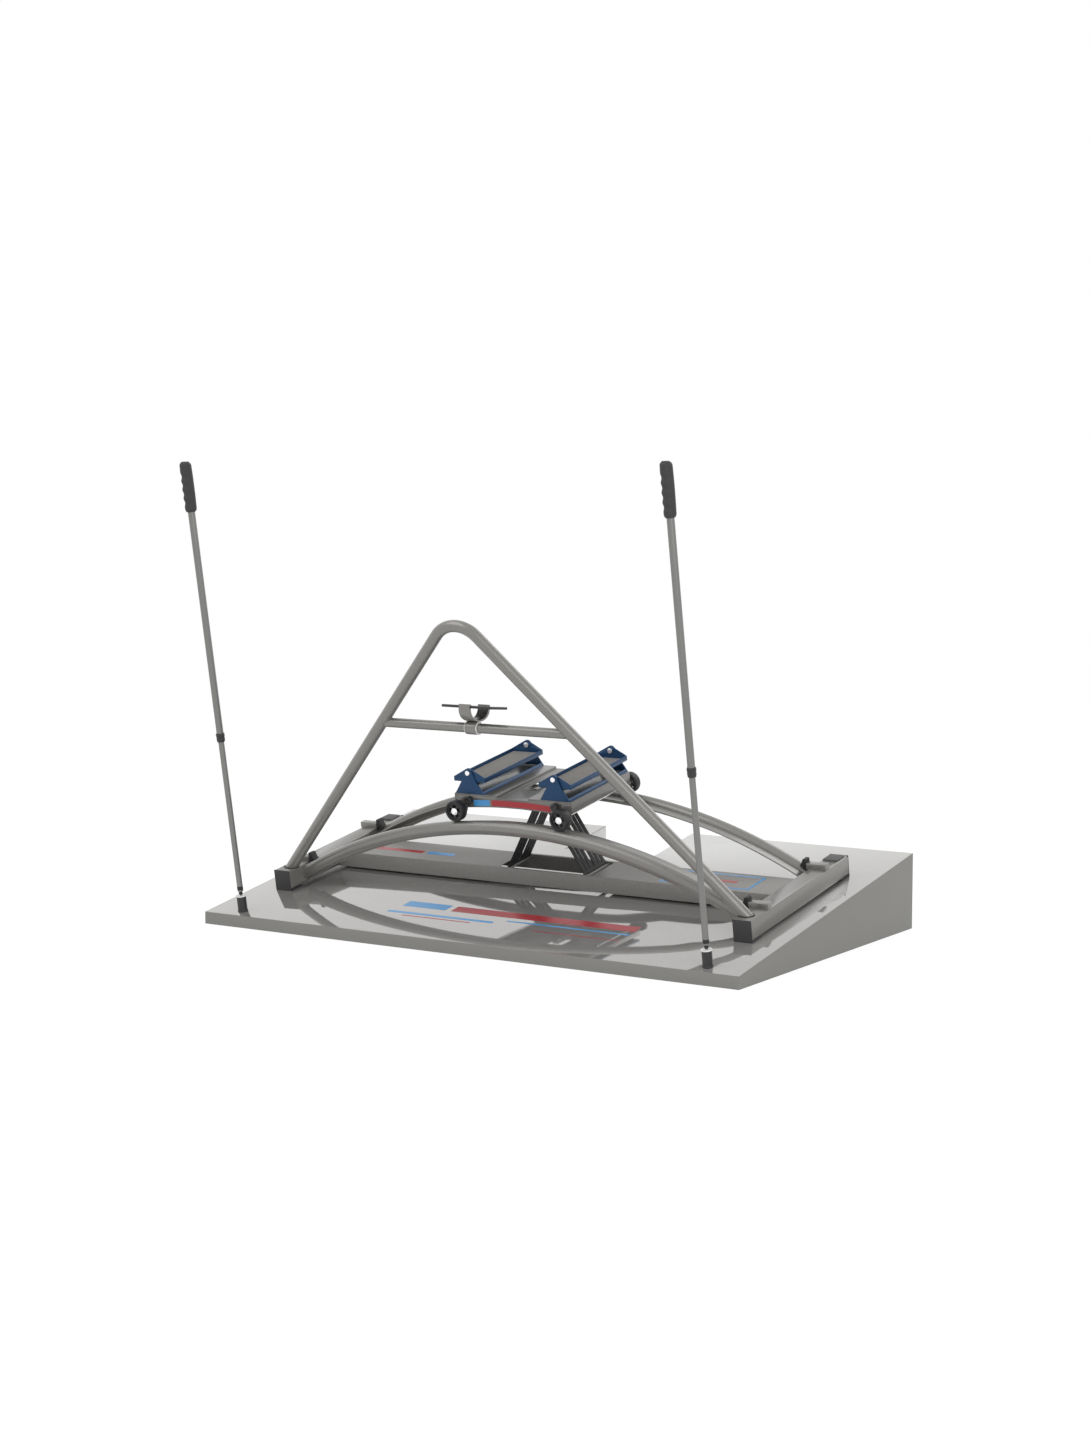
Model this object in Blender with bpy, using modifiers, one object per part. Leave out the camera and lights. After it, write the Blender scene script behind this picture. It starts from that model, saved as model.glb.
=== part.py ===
"""Ski simulator on its inclined platform, in metres, +Z up.

The origin is on the floor, in the middle of the platform's footprint. +X runs across, +Y points to the
high back edge. The machine stands on the platform's sloping top, so it is built in a slope frame whose
x, v and n run across, up the slope and square to it. The user faces the low front edge, between the poles.
"""
import math

import bmesh
import bpy
from mathutils import Matrix, Vector

GAP = 0.0003                      # running and seating gap between separate pieces

# Inclined platform
SLOPE = math.radians(10.0)
SIDE_MARGIN = 0.104               # platform beyond the machine's feet, each side
BACK_MARGIN = 0.308
FRONT_HEIGHT = 0.044
DECK_THICKNESS = 0.012
PANEL_THICKNESS = 0.015
RIB_THICKNESS = 0.018
NOTCH_WIDTH = 0.380
NOTCH_BACK_OFF = 0.008            # the notch stops this far behind the cross members

# Cross members: square tubes that run up the slope
MACHINE_WIDTH = 1.992
MEMBER_SIZE = 0.070
MEMBER_WALL = 0.003
MEMBER_CORNER = 0.007
MEMBER_LENGTH = 0.722
MEMBER_START = 0.290              # from the platform's front top edge, up the slope
FOOT_HEIGHT = 0.0075
FOOT_LENGTH = 0.060
CAP_COVER = 0.003
CAP_PLUG = 0.020
PAD_LENGTH = 0.075
PAD_THICKNESS = 0.003

# Arched rails with a guide flange on the inner side of each
RAIL_SHIFT = 0.021                # the rails' middle from the cross members', down the slope
RAIL_GAUGE = 0.470
RAIL_RISE = 0.239
RAIL_TUBE = 0.025
RAIL_WALL = 0.003
FLANGE_WIDTH = 0.038
FLANGE_THICKNESS = 0.005
FLANGE_LIFT = 0.006

# End stops: a short cross tube on the member, and a rubber bumper over the rail on its inner end
STOP_SHIFTS = (0.026, -0.016)     # front and back stops, from their own rails' middle lines
STOP_HEIGHT = 0.021
STOP_WIDTH = 0.030
STOP_CORNER = 0.003
STOP_OVERHANG = 0.002             # past the cross member's sides
STOP_WELD = 0.002
BUMPER_START_X = 0.897            # foot of its inner face
BUMPER_HEIGHT = 0.035             # above the cross member
BUMPER_HOLLOW = 0.002

# Base beam: an open-bottomed channel that holds the bands' lower ends
BEAM_OFFSET = 0.042               # the beam's middle from the rails', up the slope
BEAM_WIDTH = 0.178
BEAM_HEIGHT = 0.058
BEAM_WALL = 0.003
OPENING_LENGTH = 0.396
OPENING_WIDTH = 0.154

# Elastic bands
BAND_SET_OFFSET = 0.040
BAND_PITCH = 0.024
BAND_WIDTH = 0.021
BAND_THICKNESS = 0.003
BANDS_PER_SET = 3
BAND_BAR = 0.014                  # moulded bar at each end of the bands
BAND_BAR_THICKNESS = 0.005
BAND_BAR_MARGIN = 0.002
ANCHOR_RADIUS = 0.006
ANCHOR_INSET = 0.030              # anchor rod from the opening's end
ANCHOR_DROP = 0.011               # anchor rod's centre below the beam's top

# Handrail: a bent tube with a crossbar, leaning to the front
RAILING_TUBE = 0.021
RAILING_WALL = 0.0025
RAILING_FOOT_INSET = 0.010
RAILING_FOOT_START = 0.047        # foot's centre from the cross member's front end
RAILING_HEIGHT = 0.988            # centre line, along the leaning frame
RAILING_BEND = 0.111
RAILING_LEAN = math.radians(8.14)
CROSSBAR_HEIGHT = 0.615
CROSSBAR_TUBE = 0.017

# Tablet holder on the crossbar
HOLDER_X = -0.004
LINER_WALL = 0.0018
LINER_FLANGE_RADIUS = 0.0222
LINER_FLANGE = 0.0025
CLAMP_WALL = 0.0035
CLAMP_WIDTH = 0.044
ARM_THICKNESS = 0.006
ARM_LIP = 0.004
TABLET = (0.206, 0.113, 0.009)
TABLET_CORNER = 0.012
TABLET_HEIGHT = 0.0675            # tablet's underside above the crossbar's axis
TABLET_TILT = math.radians(15.0)  # towards the user, from the slope's plane

# Carriage
WHEEL_RADIUS = 0.038
WHEEL_WIDTH = 0.033
TYRE_WALL = 0.010
RIM_WIDTH = 0.024
RIM_RING = 0.0045
HUB_RADIUS = 0.0105
SPOKES = 5
WHEEL_HALF_BASE = 0.2185
AXLE_RADIUS = 0.005
BOLT_HEAD_RADIUS = 0.0125
PIVOT_HEAD_RADIUS = 0.0095
BOLT_HEAD = 0.006
CARRIAGE_LENGTH = 0.396
CARRIAGE_HALF_WIDTH = 0.245
DECK_OVER_AXLE = 0.0533
SHEET = 0.004
SKIRT = 0.042
RECESS_HALF_WIDTH = 0.065
RECESS_DEPTH = 0.008
DECK_HOLE = (0.066, 0.110)
DECK_HOLE_FROM_FRONT = 0.118
APRON_THICKNESS = 0.005
APRON_DROP = 0.0411               # apron's middle below the deck's top
LEG_RADIUS = 0.022
TIE_RADIUS = 0.006
TIE_HEAD_RADIUS = 0.014
TIE_HEAD = 0.016
TIE_OFFSET = (-0.0382, 0.0330)    # tie rod from the axle, towards the middle and up
HANGER_HALF_WIDTH = 0.012
HANGER_LEG = 0.005
HANGER_ROD_DROP = 0.0300          # rod's centre below the recess
HANGER_ROD_RADIUS = 0.006

# Footrests: a base with two brackets, and a tray that hangs between them
FOOTREST_X = 0.1788
BRACKET_THICKNESS = 0.005
BRACKET_FOOT = 0.061
BRACKET_WAIST = 0.029
BRACKET_WAIST_HEIGHT = 0.0475
PIVOT_HEIGHT = 0.0761
PIVOT_EAR = 0.0165
SILL_WIDTH = 0.008
SILL_HEIGHT = 0.010
TRAY_HALF_WIDTH = 0.0655
TRAY_DROP = 0.0333
TRAY_SIDE = 0.0167
TRAY_SHEET = 0.003
TRAY_END = 0.004
TRAY_SIDE_GAP = 0.001
MAT_THICKNESS = 0.004
MAT_MARGIN = 0.003

# Ski poles, each on a rubber ball in a socket
POLE_START = 0.0477               # from the front top edge, up the slope
SOCKET_RADIUS = 0.017
SOCKET_HEIGHT = 0.0565
RING_RADIUS = 0.0195
RING_THICKNESS = 0.004
BALL_RADIUS = 0.0072
LOWER_SHAFT_RADIUS = 0.0105
SHAFT_WALL = 0.0014
SHAFT_END_PLUG = 0.012
LOWER_SHAFT_LENGTH = 0.800
UPPER_SHAFT_RADIUS = 0.0125
UPPER_SHAFT_START = 0.560         # above the lower shaft's foot
UPPER_SHAFT_LENGTH = 0.935
COLLAR_HEIGHT = 0.031
COLLAR_RADIUS = 0.0155
GRIP_LENGTH = 0.175
GRIP_RADIUS = 0.0215
GRIP_OVER_SHAFT = 0.105

# Derived sizes
PLATFORM_WIDTH = MACHINE_WIDTH + 2 * SIDE_MARGIN
TOP_LENGTH = MEMBER_START + MEMBER_LENGTH + BACK_MARGIN
PLATFORM_DEPTH = TOP_LENGTH * math.cos(SLOPE)
NOTCH_DEPTH = BACK_MARGIN - NOTCH_BACK_OFF
MEMBER_CENTRE_X = (MACHINE_WIDTH - MEMBER_SIZE) / 2
MEMBER_INNER_X = MACHINE_WIDTH / 2 - MEMBER_SIZE
MEMBER_TOP = FOOT_HEIGHT + MEMBER_SIZE
RAIL_END_HEIGHT = FOOT_HEIGHT + MEMBER_SIZE / 2
RAIL_TOP = RAIL_END_HEIGHT + RAIL_RISE
RAIL_RADIUS = (MEMBER_INNER_X ** 2 + RAIL_RISE ** 2) / (2 * RAIL_RISE)
STOP_FACE_X = MEMBER_INNER_X - STOP_OVERHANG
AXIS_HEIGHT = RAIL_TOP - RAIL_RADIUS
RAIL_CENTRE = MEMBER_START + MEMBER_LENGTH / 2 - RAIL_SHIFT
BEAM_CENTRE = RAIL_CENTRE + BEAM_OFFSET
RAIL_SIDES = (RAIL_CENTRE - RAIL_GAUGE / 2, RAIL_CENTRE + RAIL_GAUGE / 2)
STOP_SIDES = (RAIL_SIDES[0] + STOP_SHIFTS[0], RAIL_SIDES[1] + STOP_SHIFTS[1])
WHEEL_PATH = RAIL_RADIUS + RAIL_TUBE + GAP + WHEEL_RADIUS
AXLE_Z = math.sqrt(WHEEL_PATH ** 2 - WHEEL_HALF_BASE ** 2)
DECK_Z = AXLE_Z + DECK_OVER_AXLE
RECESS_Z = DECK_Z - RECESS_DEPTH
HALF_LENGTH = CARRIAGE_LENGTH / 2
BEAM_TOP = FOOT_HEIGHT + BEAM_HEIGHT
ANCHOR_X = OPENING_LENGTH / 2 - ANCHOR_INSET
ANCHOR_Z = BEAM_TOP - ANCHOR_DROP
HOOK_Z = RECESS_Z - SHEET - HANGER_ROD_DROP
BAND_HALF_SPAN = BAND_SET_OFFSET + BAND_PITCH * (BANDS_PER_SET - 1) / 2 + BAND_WIDTH / 2

PARTS = "ski_simulator"
SIDE_NAMES = ((-1, "left"), (1, "right"))


# Scene, collections and materials

def clear_scene():
    for obj in list(bpy.data.objects):
        bpy.data.objects.remove(obj, do_unlink=True)
    for block in (bpy.data.meshes, bpy.data.curves, bpy.data.materials):
        for item in list(block):
            block.remove(item)
    for item in list(bpy.data.collections):
        bpy.data.collections.remove(item)


def collection(name):
    if name not in bpy.data.collections:
        made = bpy.data.collections.new(name)
        bpy.context.scene.collection.children.link(made)
    return bpy.data.collections[name]


def material(name, colour, roughness, metallic=0.0):
    if name in bpy.data.materials:
        return bpy.data.materials[name]
    made = bpy.data.materials.new(name)
    made.use_nodes = True
    shader = made.node_tree.nodes["Principled BSDF"]
    shader.inputs["Base Color"].default_value = (*colour, 1.0)
    shader.inputs["Roughness"].default_value = roughness
    shader.inputs["Metallic"].default_value = metallic
    made.diffuse_color = (*colour, 1.0)
    return made


def grey_paint():
    return material("grey_metallic_paint", (0.30, 0.29, 0.27), 0.38, 0.75)


def platform_gloss():
    return material("platform_gloss_grey", (0.31, 0.30, 0.28), 0.12, 0.1)


def board_grey():
    return material("platform_board_grey", (0.26, 0.25, 0.24), 0.5)


def black_rubber():
    return material("black_rubber", (0.02, 0.02, 0.022), 0.8)


def black_plastic():
    return material("black_plastic", (0.035, 0.035, 0.04), 0.45)


def blue_paint():
    return material("blue_paint", (0.02, 0.075, 0.19), 0.4, 0.1)


def bright_steel():
    return material("bright_steel", (0.8, 0.8, 0.81), 0.2, 1.0)


def grey_mat():
    return material("grey_mat", (0.28, 0.27, 0.27), 0.8)


def white_plastic():
    return material("white_plastic", (0.85, 0.85, 0.85), 0.4)


def pole_grey():
    return material("pole_grey", (0.27, 0.27, 0.26), 0.35, 0.6)


# Frames

def frame(name, parent=None, location=(0, 0, 0), rotation=(0, 0, 0)):
    """An empty that carries pieces, on a joint axis where the pieces move."""
    made = bpy.data.objects.new(name, None)
    made.empty_display_size = 0.05
    collection(PARTS).objects.link(made)
    made.parent = parent
    made.location = location
    made.rotation_euler = rotation
    return made


def add(name, mesh, mat, parent=None, location=(0, 0, 0), smooth=False):
    """A named sub-part from its mesh."""
    made = bpy.data.objects.new(name, mesh)
    collection(PARTS).objects.link(made)
    made.parent = parent
    made.location = location
    mesh.materials.clear()
    mesh.materials.append(mat)
    if smooth:
        mesh.shade_smooth()
        mesh.set_sharp_from_angle(angle=math.radians(35))
    return made


# Meshes

def mesh_from(bm, name="shape"):
    mesh = bpy.data.meshes.new(name)
    bm.to_mesh(mesh)
    bm.free()
    return mesh


def baked(obj):
    """The evaluated mesh of a loose object, with its caps welded, and the object removed."""
    bpy.context.view_layer.update()
    graph = bpy.context.evaluated_depsgraph_get()
    mesh = bpy.data.meshes.new_from_object(obj.evaluated_get(graph), depsgraph=graph)
    mesh.transform(obj.matrix_world)
    bm = bmesh.new()
    bm.from_mesh(mesh)
    bmesh.ops.remove_doubles(bm, verts=bm.verts, dist=0.00002)
    bm.to_mesh(mesh)
    bm.free()
    data = obj.data
    bpy.data.objects.remove(obj, do_unlink=True)
    if isinstance(data, bpy.types.Curve):
        bpy.data.curves.remove(data)
    return mesh


def loose(name, data):
    made = bpy.data.objects.new(name, data)
    bpy.context.scene.collection.objects.link(made)
    return made


def box_mesh(low, high):
    low, high = Vector(low), Vector(high)
    bm = bmesh.new()
    place = Matrix.Translation((low + high) / 2) @ Matrix.Diagonal((*(high - low), 1.0))
    bmesh.ops.create_cube(bm, size=1.0, matrix=place)
    return mesh_from(bm)


def rod_mesh(start, end, radius, sides=12):
    start, end = Vector(start), Vector(end)
    bm = bmesh.new()
    turn = Vector((0, 0, 1)).rotation_difference(end - start).to_matrix().to_4x4()
    place = Matrix.Translation((start + end) / 2) @ turn
    bmesh.ops.create_cone(bm, cap_ends=True, segments=sides, radius1=radius, radius2=radius,
                          depth=(end - start).length, matrix=place)
    return mesh_from(bm)


def ball_mesh(radius):
    bm = bmesh.new()
    bmesh.ops.create_uvsphere(bm, u_segments=12, v_segments=8, radius=radius)
    return mesh_from(bm)


def turned_mesh(profile, steps=16, ring=False):
    """Turns (radius, height) points, listed top to bottom on the outside, about +Z."""
    bm = bmesh.new()
    verts = [bm.verts.new((r, 0, z)) for r, z in profile]
    for a, b in zip(verts, verts[1:]):
        bm.edges.new((a, b))
    if ring:
        bm.edges.new((verts[-1], verts[0]))
    obj = loose("turned", mesh_from(bm))
    screw = obj.modifiers.new("turn", "SCREW")
    screw.steps = screw.render_steps = steps
    screw.use_merge_vertices = True
    screw.merge_threshold = 0.00001
    return baked(obj)


def outline_mesh(outlines, low, high):
    """Fills flat outlines, the first one outside and the rest holes, from height low to high."""
    curve = bpy.data.curves.new("outline", "CURVE")
    curve.dimensions = "2D"
    curve.fill_mode = "BOTH"
    curve.extrude = (high - low) / 2
    for points in outlines:
        spline = curve.splines.new("POLY")
        spline.points.add(len(points) - 1)
        for point, (u, w) in zip(spline.points, points):
            point.co = (u, w, 0, 1)
        spline.use_cyclic_u = True
    obj = loose("outline", curve)
    obj.location.z = (high + low) / 2
    return baked(obj)


def upright(mesh):
    """Stands a flat outline up: its second axis becomes height, its thickness runs up the slope."""
    mesh.transform(Matrix(((1, 0, 0, 0), (0, 0, -1, 0), (0, 1, 0, 0), (0, 0, 0, 1))))
    return mesh


def plate_mesh(outlines, front, back):
    """An upright plate in x and height, from depth front to depth back."""
    return upright(outline_mesh(outlines, -back, -front))


def along_mesh(outlines, left, right):
    """A section in depth and height, drawn out along x from left to right."""
    mesh = outline_mesh(outlines, left, right)
    mesh.transform(Matrix(((0, 0, 1, 0), (1, 0, 0, 0), (0, 1, 0, 0), (0, 0, 0, 1))))
    return mesh


def tube_mesh(points, radius, wall=None, resolution=3):
    """A round tube along points, solid where no wall is given."""
    curve = bpy.data.curves.new("tube", "CURVE")
    curve.dimensions = "3D"
    curve.bevel_depth = radius
    curve.bevel_resolution = resolution
    curve.use_fill_caps = wall is None
    spline = curve.splines.new("POLY")
    spline.points.add(len(points) - 1)
    for point, co in zip(spline.points, points):
        point.co = (*co, 1)
    mesh = baked(loose("tube", curve))
    if wall is None:
        return mesh
    obj = loose("tube", mesh)
    shell = obj.modifiers.new("wall", "SOLIDIFY")
    shell.thickness = wall
    shell.offset = -1
    return baked(obj)


def combined(base, others, operation):
    """A Boolean of base with each other mesh, worked out once and kept as a plain mesh."""
    obj = loose("base", base)
    cutters = []
    for mesh in others:
        cutter = loose("cutter", mesh)
        cutters.append(cutter)
        step = obj.modifiers.new("step", "BOOLEAN")
        step.operation = operation
        step.solver = "EXACT"
        step.object = cutter
    mesh = baked(obj)
    for cutter in cutters:
        bpy.data.objects.remove(cutter, do_unlink=True)
    return mesh


def joined(meshes):
    """Separate solids in one mesh."""
    bm = bmesh.new()
    for mesh in meshes:
        bm.from_mesh(mesh)
    return mesh_from(bm)


def moved(mesh, offset=(0, 0, 0), turn=None):
    out = mesh.copy()
    if turn is not None:
        out.transform(turn)
    out.transform(Matrix.Translation(offset))
    return out


def cut_later(target, mesh, name):
    """Keeps a cut live: the cutter stays in its own collection."""
    cutter = bpy.data.objects.new(name, mesh)
    collection("cutters").objects.link(cutter)
    cutter.parent = target.parent
    cutter.location = target.location
    cutter.hide_render = True
    cutter.display_type = "WIRE"
    step = target.modifiers.new(name, "BOOLEAN")
    step.operation = "DIFFERENCE"
    step.solver = "EXACT"
    step.object = cutter


# Outlines

def arc(centre, radius, start, end, steps):
    """Points on a circle, from one angle to another in degrees, both included."""
    angles = [math.radians(start + (end - start) * i / steps) for i in range(steps + 1)]
    return [(centre[0] + radius * math.cos(a), centre[1] + radius * math.sin(a)) for a in angles]


def circle(centre, radius, steps=16):
    return arc(centre, radius, 0, 360 * (steps - 1) / steps, steps - 1)


def rounded_rectangle(centre, width, height, radius, steps=3):
    x, y = width / 2 - radius, height / 2 - radius
    corners = ((x, y, 0), (-x, y, 90), (-x, -y, 180), (x, -y, 270))
    points = []
    for cx, cy, start in corners:
        points += arc((centre[0] + cx, centre[1] + cy), radius, start, start + 90, steps)
    return points


def rectangle(low, high):
    return [(low[0], low[1]), (high[0], low[1]), (high[0], high[1]), (low[0], high[1])]


def mirrored(half):
    """Closes a right-hand half outline, listed bottom to top, with its mirror image."""
    return half + [(-x, z) for x, z in reversed(half) if x > 1e-9]


# Platform

def deck_underside(y):
    """Height of the sloping deck's underside at a world y."""
    top = FRONT_HEIGHT + (y + PLATFORM_DEPTH / 2) * math.tan(SLOPE)
    return top - DECK_THICKNESS / math.cos(SLOPE) - GAP


def wedge_mesh(outline):
    """A block on the floor with a flat outline, its top cut to the deck's slope."""
    mesh = outline_mesh([outline], 0, 1)
    for vert in mesh.vertices:
        if vert.co.z > 0.5:
            vert.co.z = deck_underside(vert.co.y)
    return mesh


def notched_outline(half, front, back, edge, notch):
    return [(-half, front), (half, front), (half, back), (edge, back), (edge, notch), (-edge, notch),
            (-edge, back), (-half, back)]


def build_platform(slope_frame):
    half, edge = PLATFORM_WIDTH / 2, NOTCH_WIDTH / 2
    notch_v = TOP_LENGTH - NOTCH_DEPTH
    deck = notched_outline(half, 0, TOP_LENGTH, edge, notch_v)
    add("platform_deck", outline_mesh([deck], -DECK_THICKNESS, 0), platform_gloss(), slope_frame)

    front, back = -PLATFORM_DEPTH / 2, PLATFORM_DEPTH / 2
    notch = front + notch_v * math.cos(SLOPE)
    inner_front, inner_back = front + PANEL_THICKNESS, back - PANEL_THICKNESS
    rib = RIB_THICKNESS / 2
    near, far = MEMBER_CENTRE_X / 3, MEMBER_CENTRE_X
    bays = [(near + rib, far - rib), (far + rib, half - PANEL_THICKNESS)]
    pockets = [(-near + rib, near - rib, inner_front, -rib),
               (-near + rib, near - rib, rib, notch - PANEL_THICKNESS)]
    for side, name in SIDE_NAMES:
        for low, high in bays:
            x = sorted((side * low, side * high))
            pockets.append((*x, inner_front, -rib))
            pockets.append((*x, rib, inner_back))
        x = sorted((side * (edge + PANEL_THICKNESS), side * (near - rib)))
        pockets.append((*x, notch, inner_back))
    block = wedge_mesh(notched_outline(half, front, back, edge, notch))
    holes = joined([box_mesh((x0, y0, -1), (x1, y1, 1)) for x0, x1, y0, y1 in pockets])
    add("platform_frame", combined(block, [holes], "DIFFERENCE"), board_grey())


# Cross members and their trim

def build_members(slope_frame):
    centre_z = FOOT_HEIGHT + MEMBER_SIZE / 2
    end = MEMBER_START + MEMBER_LENGTH
    for side, name in SIDE_NAMES:
        centre = (side * MEMBER_CENTRE_X, centre_z)
        inner = MEMBER_SIZE - 2 * MEMBER_WALL
        section = [rounded_rectangle(centre, MEMBER_SIZE, MEMBER_SIZE, MEMBER_CORNER),
                   rounded_rectangle(centre, inner, inner, MEMBER_CORNER - MEMBER_WALL)]
        x = sorted((side * STOP_FACE_X, side * (MACHINE_WIDTH / 2 + STOP_OVERHANG)))
        height = STOP_HEIGHT + STOP_WELD
        middle = MEMBER_TOP - STOP_WELD + height / 2
        blocks = [along_mesh([rounded_rectangle((v, middle), STOP_WIDTH, height, STOP_CORNER)], *x)
                  for v in STOP_SIDES]
        member = combined(plate_mesh(section, MEMBER_START, end), blocks, "UNION")
        add(f"cross_member_{name}", member, grey_paint(), slope_frame)


def build_end_feet(slope_frame):
    """Moulded rubber ends: a plug in the tube, a cover, a foot below and, at the back, a pad on top."""
    centre_z = FOOT_HEIGHT + MEMBER_SIZE / 2
    plug = MEMBER_SIZE - 2 * MEMBER_WALL - 2 * GAP
    wide = MEMBER_SIZE / 2
    for side, name in SIDE_NAMES:
        x = side * MEMBER_CENTRE_X
        stub = rounded_rectangle((x, centre_z), plug, plug, MEMBER_CORNER - MEMBER_WALL)
        for v, out, end in ((MEMBER_START, -1, "front"), (MEMBER_START + MEMBER_LENGTH, 1, "back")):
            top = MEMBER_TOP + (PAD_THICKNESS + GAP if out > 0 else 0)
            depths = sorted((v + out * GAP, v + out * (GAP + CAP_COVER)))
            cover = plate_mesh([rectangle((x - wide, GAP), (x + wide, top))], *depths)
            depths = sorted((v + out * (GAP + CAP_COVER / 2), v - out * CAP_PLUG))
            pieces = [plate_mesh([stub], *depths)]
            depths = sorted((v + out * (GAP + CAP_COVER / 2), v - out * FOOT_LENGTH))
            pieces.append(box_mesh((x - wide, depths[0], GAP), (x + wide, depths[1], FOOT_HEIGHT - GAP)))
            if out > 0:
                low = (x - wide, v - PAD_LENGTH, MEMBER_TOP + GAP)
                pieces.append(box_mesh(low, (x + wide, v + GAP + CAP_COVER / 2, top)))
            add(f"end_foot_{end}_{name}", combined(cover, pieces, "UNION"), black_rubber(), slope_frame)


# Rails

def build_rails(slope_frame):
    """Each rail is an arched tube with its guide flange welded on, cut off square to the cross members."""
    reach = MEMBER_INNER_X - GAP
    steps = 28
    over = math.asin((MEMBER_INNER_X + RAIL_TUBE) / RAIL_RADIUS)
    angles = [over * (2 * i / steps - 1) for i in range(steps + 1)]
    beyond, beside, above = 1.5 * reach, RAIL_GAUGE / 4, 2 * RAIL_TOP
    for v, name, inward in ((RAIL_SIDES[0], "front", 1), (RAIL_SIDES[1], "back", -1)):
        path = [(RAIL_RADIUS * math.sin(a), v, AXIS_HEIGHT + RAIL_RADIUS * math.cos(a)) for a in angles]
        middle = RAIL_RADIUS + FLANGE_LIFT
        outline = []
        for radius, way in ((middle + FLANGE_THICKNESS / 2, 1), (middle - FLANGE_THICKNESS / 2, -1)):
            outline += [(radius * math.sin(way * a), AXIS_HEIGHT + radius * math.cos(a)) for a in angles]
        near, far = RAIL_TUBE - RAIL_WALL * 0.7, RAIL_TUBE + FLANGE_WIDTH
        flange = plate_mesh([outline], *sorted((v + inward * near, v + inward * far)))
        whole = combined(tube_mesh(path, RAIL_TUBE, RAIL_WALL), [flange], "UNION")
        waste = [box_mesh((reach, v - beside, -above), (beyond, v + beside, above)),
                 box_mesh((-beyond, v - beside, -above), (-reach, v + beside, above))]
        add(f"rail_{name}", combined(whole, waste, "DIFFERENCE"), grey_paint(), slope_frame, smooth=True)


def build_bumpers(slope_frame):
    """Rubber blocks on the stops' inner ends, each with a slightly hollow face square to the rail."""
    foot, face, top = RAIL_RADIUS + RAIL_TUBE + GAP, STOP_FACE_X - GAP, MEMBER_TOP + BUMPER_HEIGHT
    lean = math.asin(BUMPER_START_X / foot)
    head = (top - AXIS_HEIGHT) / math.cos(lean)
    middle = (foot + head) / 2
    hollow = lean + BUMPER_HOLLOW / middle
    outline = [(foot * math.sin(lean), AXIS_HEIGHT + foot * math.cos(lean)),
               (face, AXIS_HEIGHT + math.sqrt(foot ** 2 - face ** 2)), (face, top),
               (head * math.sin(lean), top),
               (middle * math.sin(hollow), AXIS_HEIGHT + middle * math.cos(hollow))]
    for v, end in zip(STOP_SIDES, ("front", "back")):
        for side, name in SIDE_NAMES:
            corners = [(side * x, z) for x, z in outline]
            bumper = plate_mesh([corners], v - STOP_WIDTH / 2, v + STOP_WIDTH / 2)
            add(f"stop_bumper_{end}_{name}", bumper, black_rubber(), slope_frame)


# Beam and bands

def build_beam(slope_frame):
    """An open-bottomed channel with an opening in its top, and a welded anchor rod near each end of it."""
    reach = MEMBER_INNER_X - GAP
    half, inner = BEAM_WIDTH / 2, BEAM_WIDTH / 2 - BEAM_WALL
    low, top = FOOT_HEIGHT, BEAM_TOP
    section = [(-half, low), (-inner, low), (-inner, top - BEAM_WALL), (inner, top - BEAM_WALL),
               (inner, low), (half, low), (half, top), (-half, top)]
    channel = along_mesh([section], -reach, reach)
    opening = box_mesh((-OPENING_LENGTH / 2, -OPENING_WIDTH / 2, top - 4 * BEAM_WALL),
                       (OPENING_LENGTH / 2, OPENING_WIDTH / 2, top + 4 * BEAM_WALL))
    channel = combined(channel, [opening], "DIFFERENCE")
    hold = inner + BEAM_WALL / 2
    rods = [rod_mesh((side * ANCHOR_X, -hold, ANCHOR_Z), (side * ANCHOR_X, hold, ANCHOR_Z), ANCHOR_RADIUS)
            for side, name in SIDE_NAMES]
    add("base_beam", combined(channel, rods, "UNION"), grey_paint(), slope_frame, (0, BEAM_CENTRE, 0))


def band_places():
    """Depth of each band's middle, from the beam's middle."""
    middle = (BANDS_PER_SET - 1) / 2
    return [side * BAND_SET_OFFSET + (i - middle) * BAND_PITCH for side in (-1, 1) for i in range(BANDS_PER_SET)]


def strip_outline(start, end, thickness):
    """Four corners of a flat strip seen edge on."""
    way = (end - start).normalized()
    across = Vector((way.z, 0, -way.x)) * thickness / 2
    return [(c.x, c.z) for c in (start - across, start + across, end + across, end - across)]


def build_bands(slope_frame):
    """Flat bands from an anchor rod up to the hanger's rod, joined by a moulded bar at each end."""
    hook_z = AXIS_HEIGHT + HOOK_Z
    reach = BAND_HALF_SPAN + BAND_BAR_MARGIN
    for side, name in SIDE_NAMES:
        low, high = Vector((side * ANCHOR_X, 0, ANCHOR_Z)), Vector((0, 0, hook_z))
        way = (high - low).normalized()
        start = low + way * (ANCHOR_RADIUS + GAP)
        end = high - way * (HANGER_ROD_RADIUS + GAP)
        strip = strip_outline(start + way * BAND_BAR / 2, end - way * BAND_BAR / 2, BAND_THICKNESS)
        strips = [plate_mesh([strip], v - BAND_WIDTH / 2, v + BAND_WIDTH / 2) for v in band_places()]
        foot = strip_outline(start, start + way * BAND_BAR, BAND_BAR_THICKNESS)
        head = strip_outline(end - way * BAND_BAR, end, BAND_BAR_THICKNESS)
        bars = [plate_mesh([bar], -reach, reach) for bar in (foot, head)]
        whole = combined(bars[0], strips + bars[1:], "UNION")
        add(f"elastic_bands_{name}", whole, black_rubber(), slope_frame, (0, BEAM_CENTRE, 0))


# Handrail and tablet holder

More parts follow.
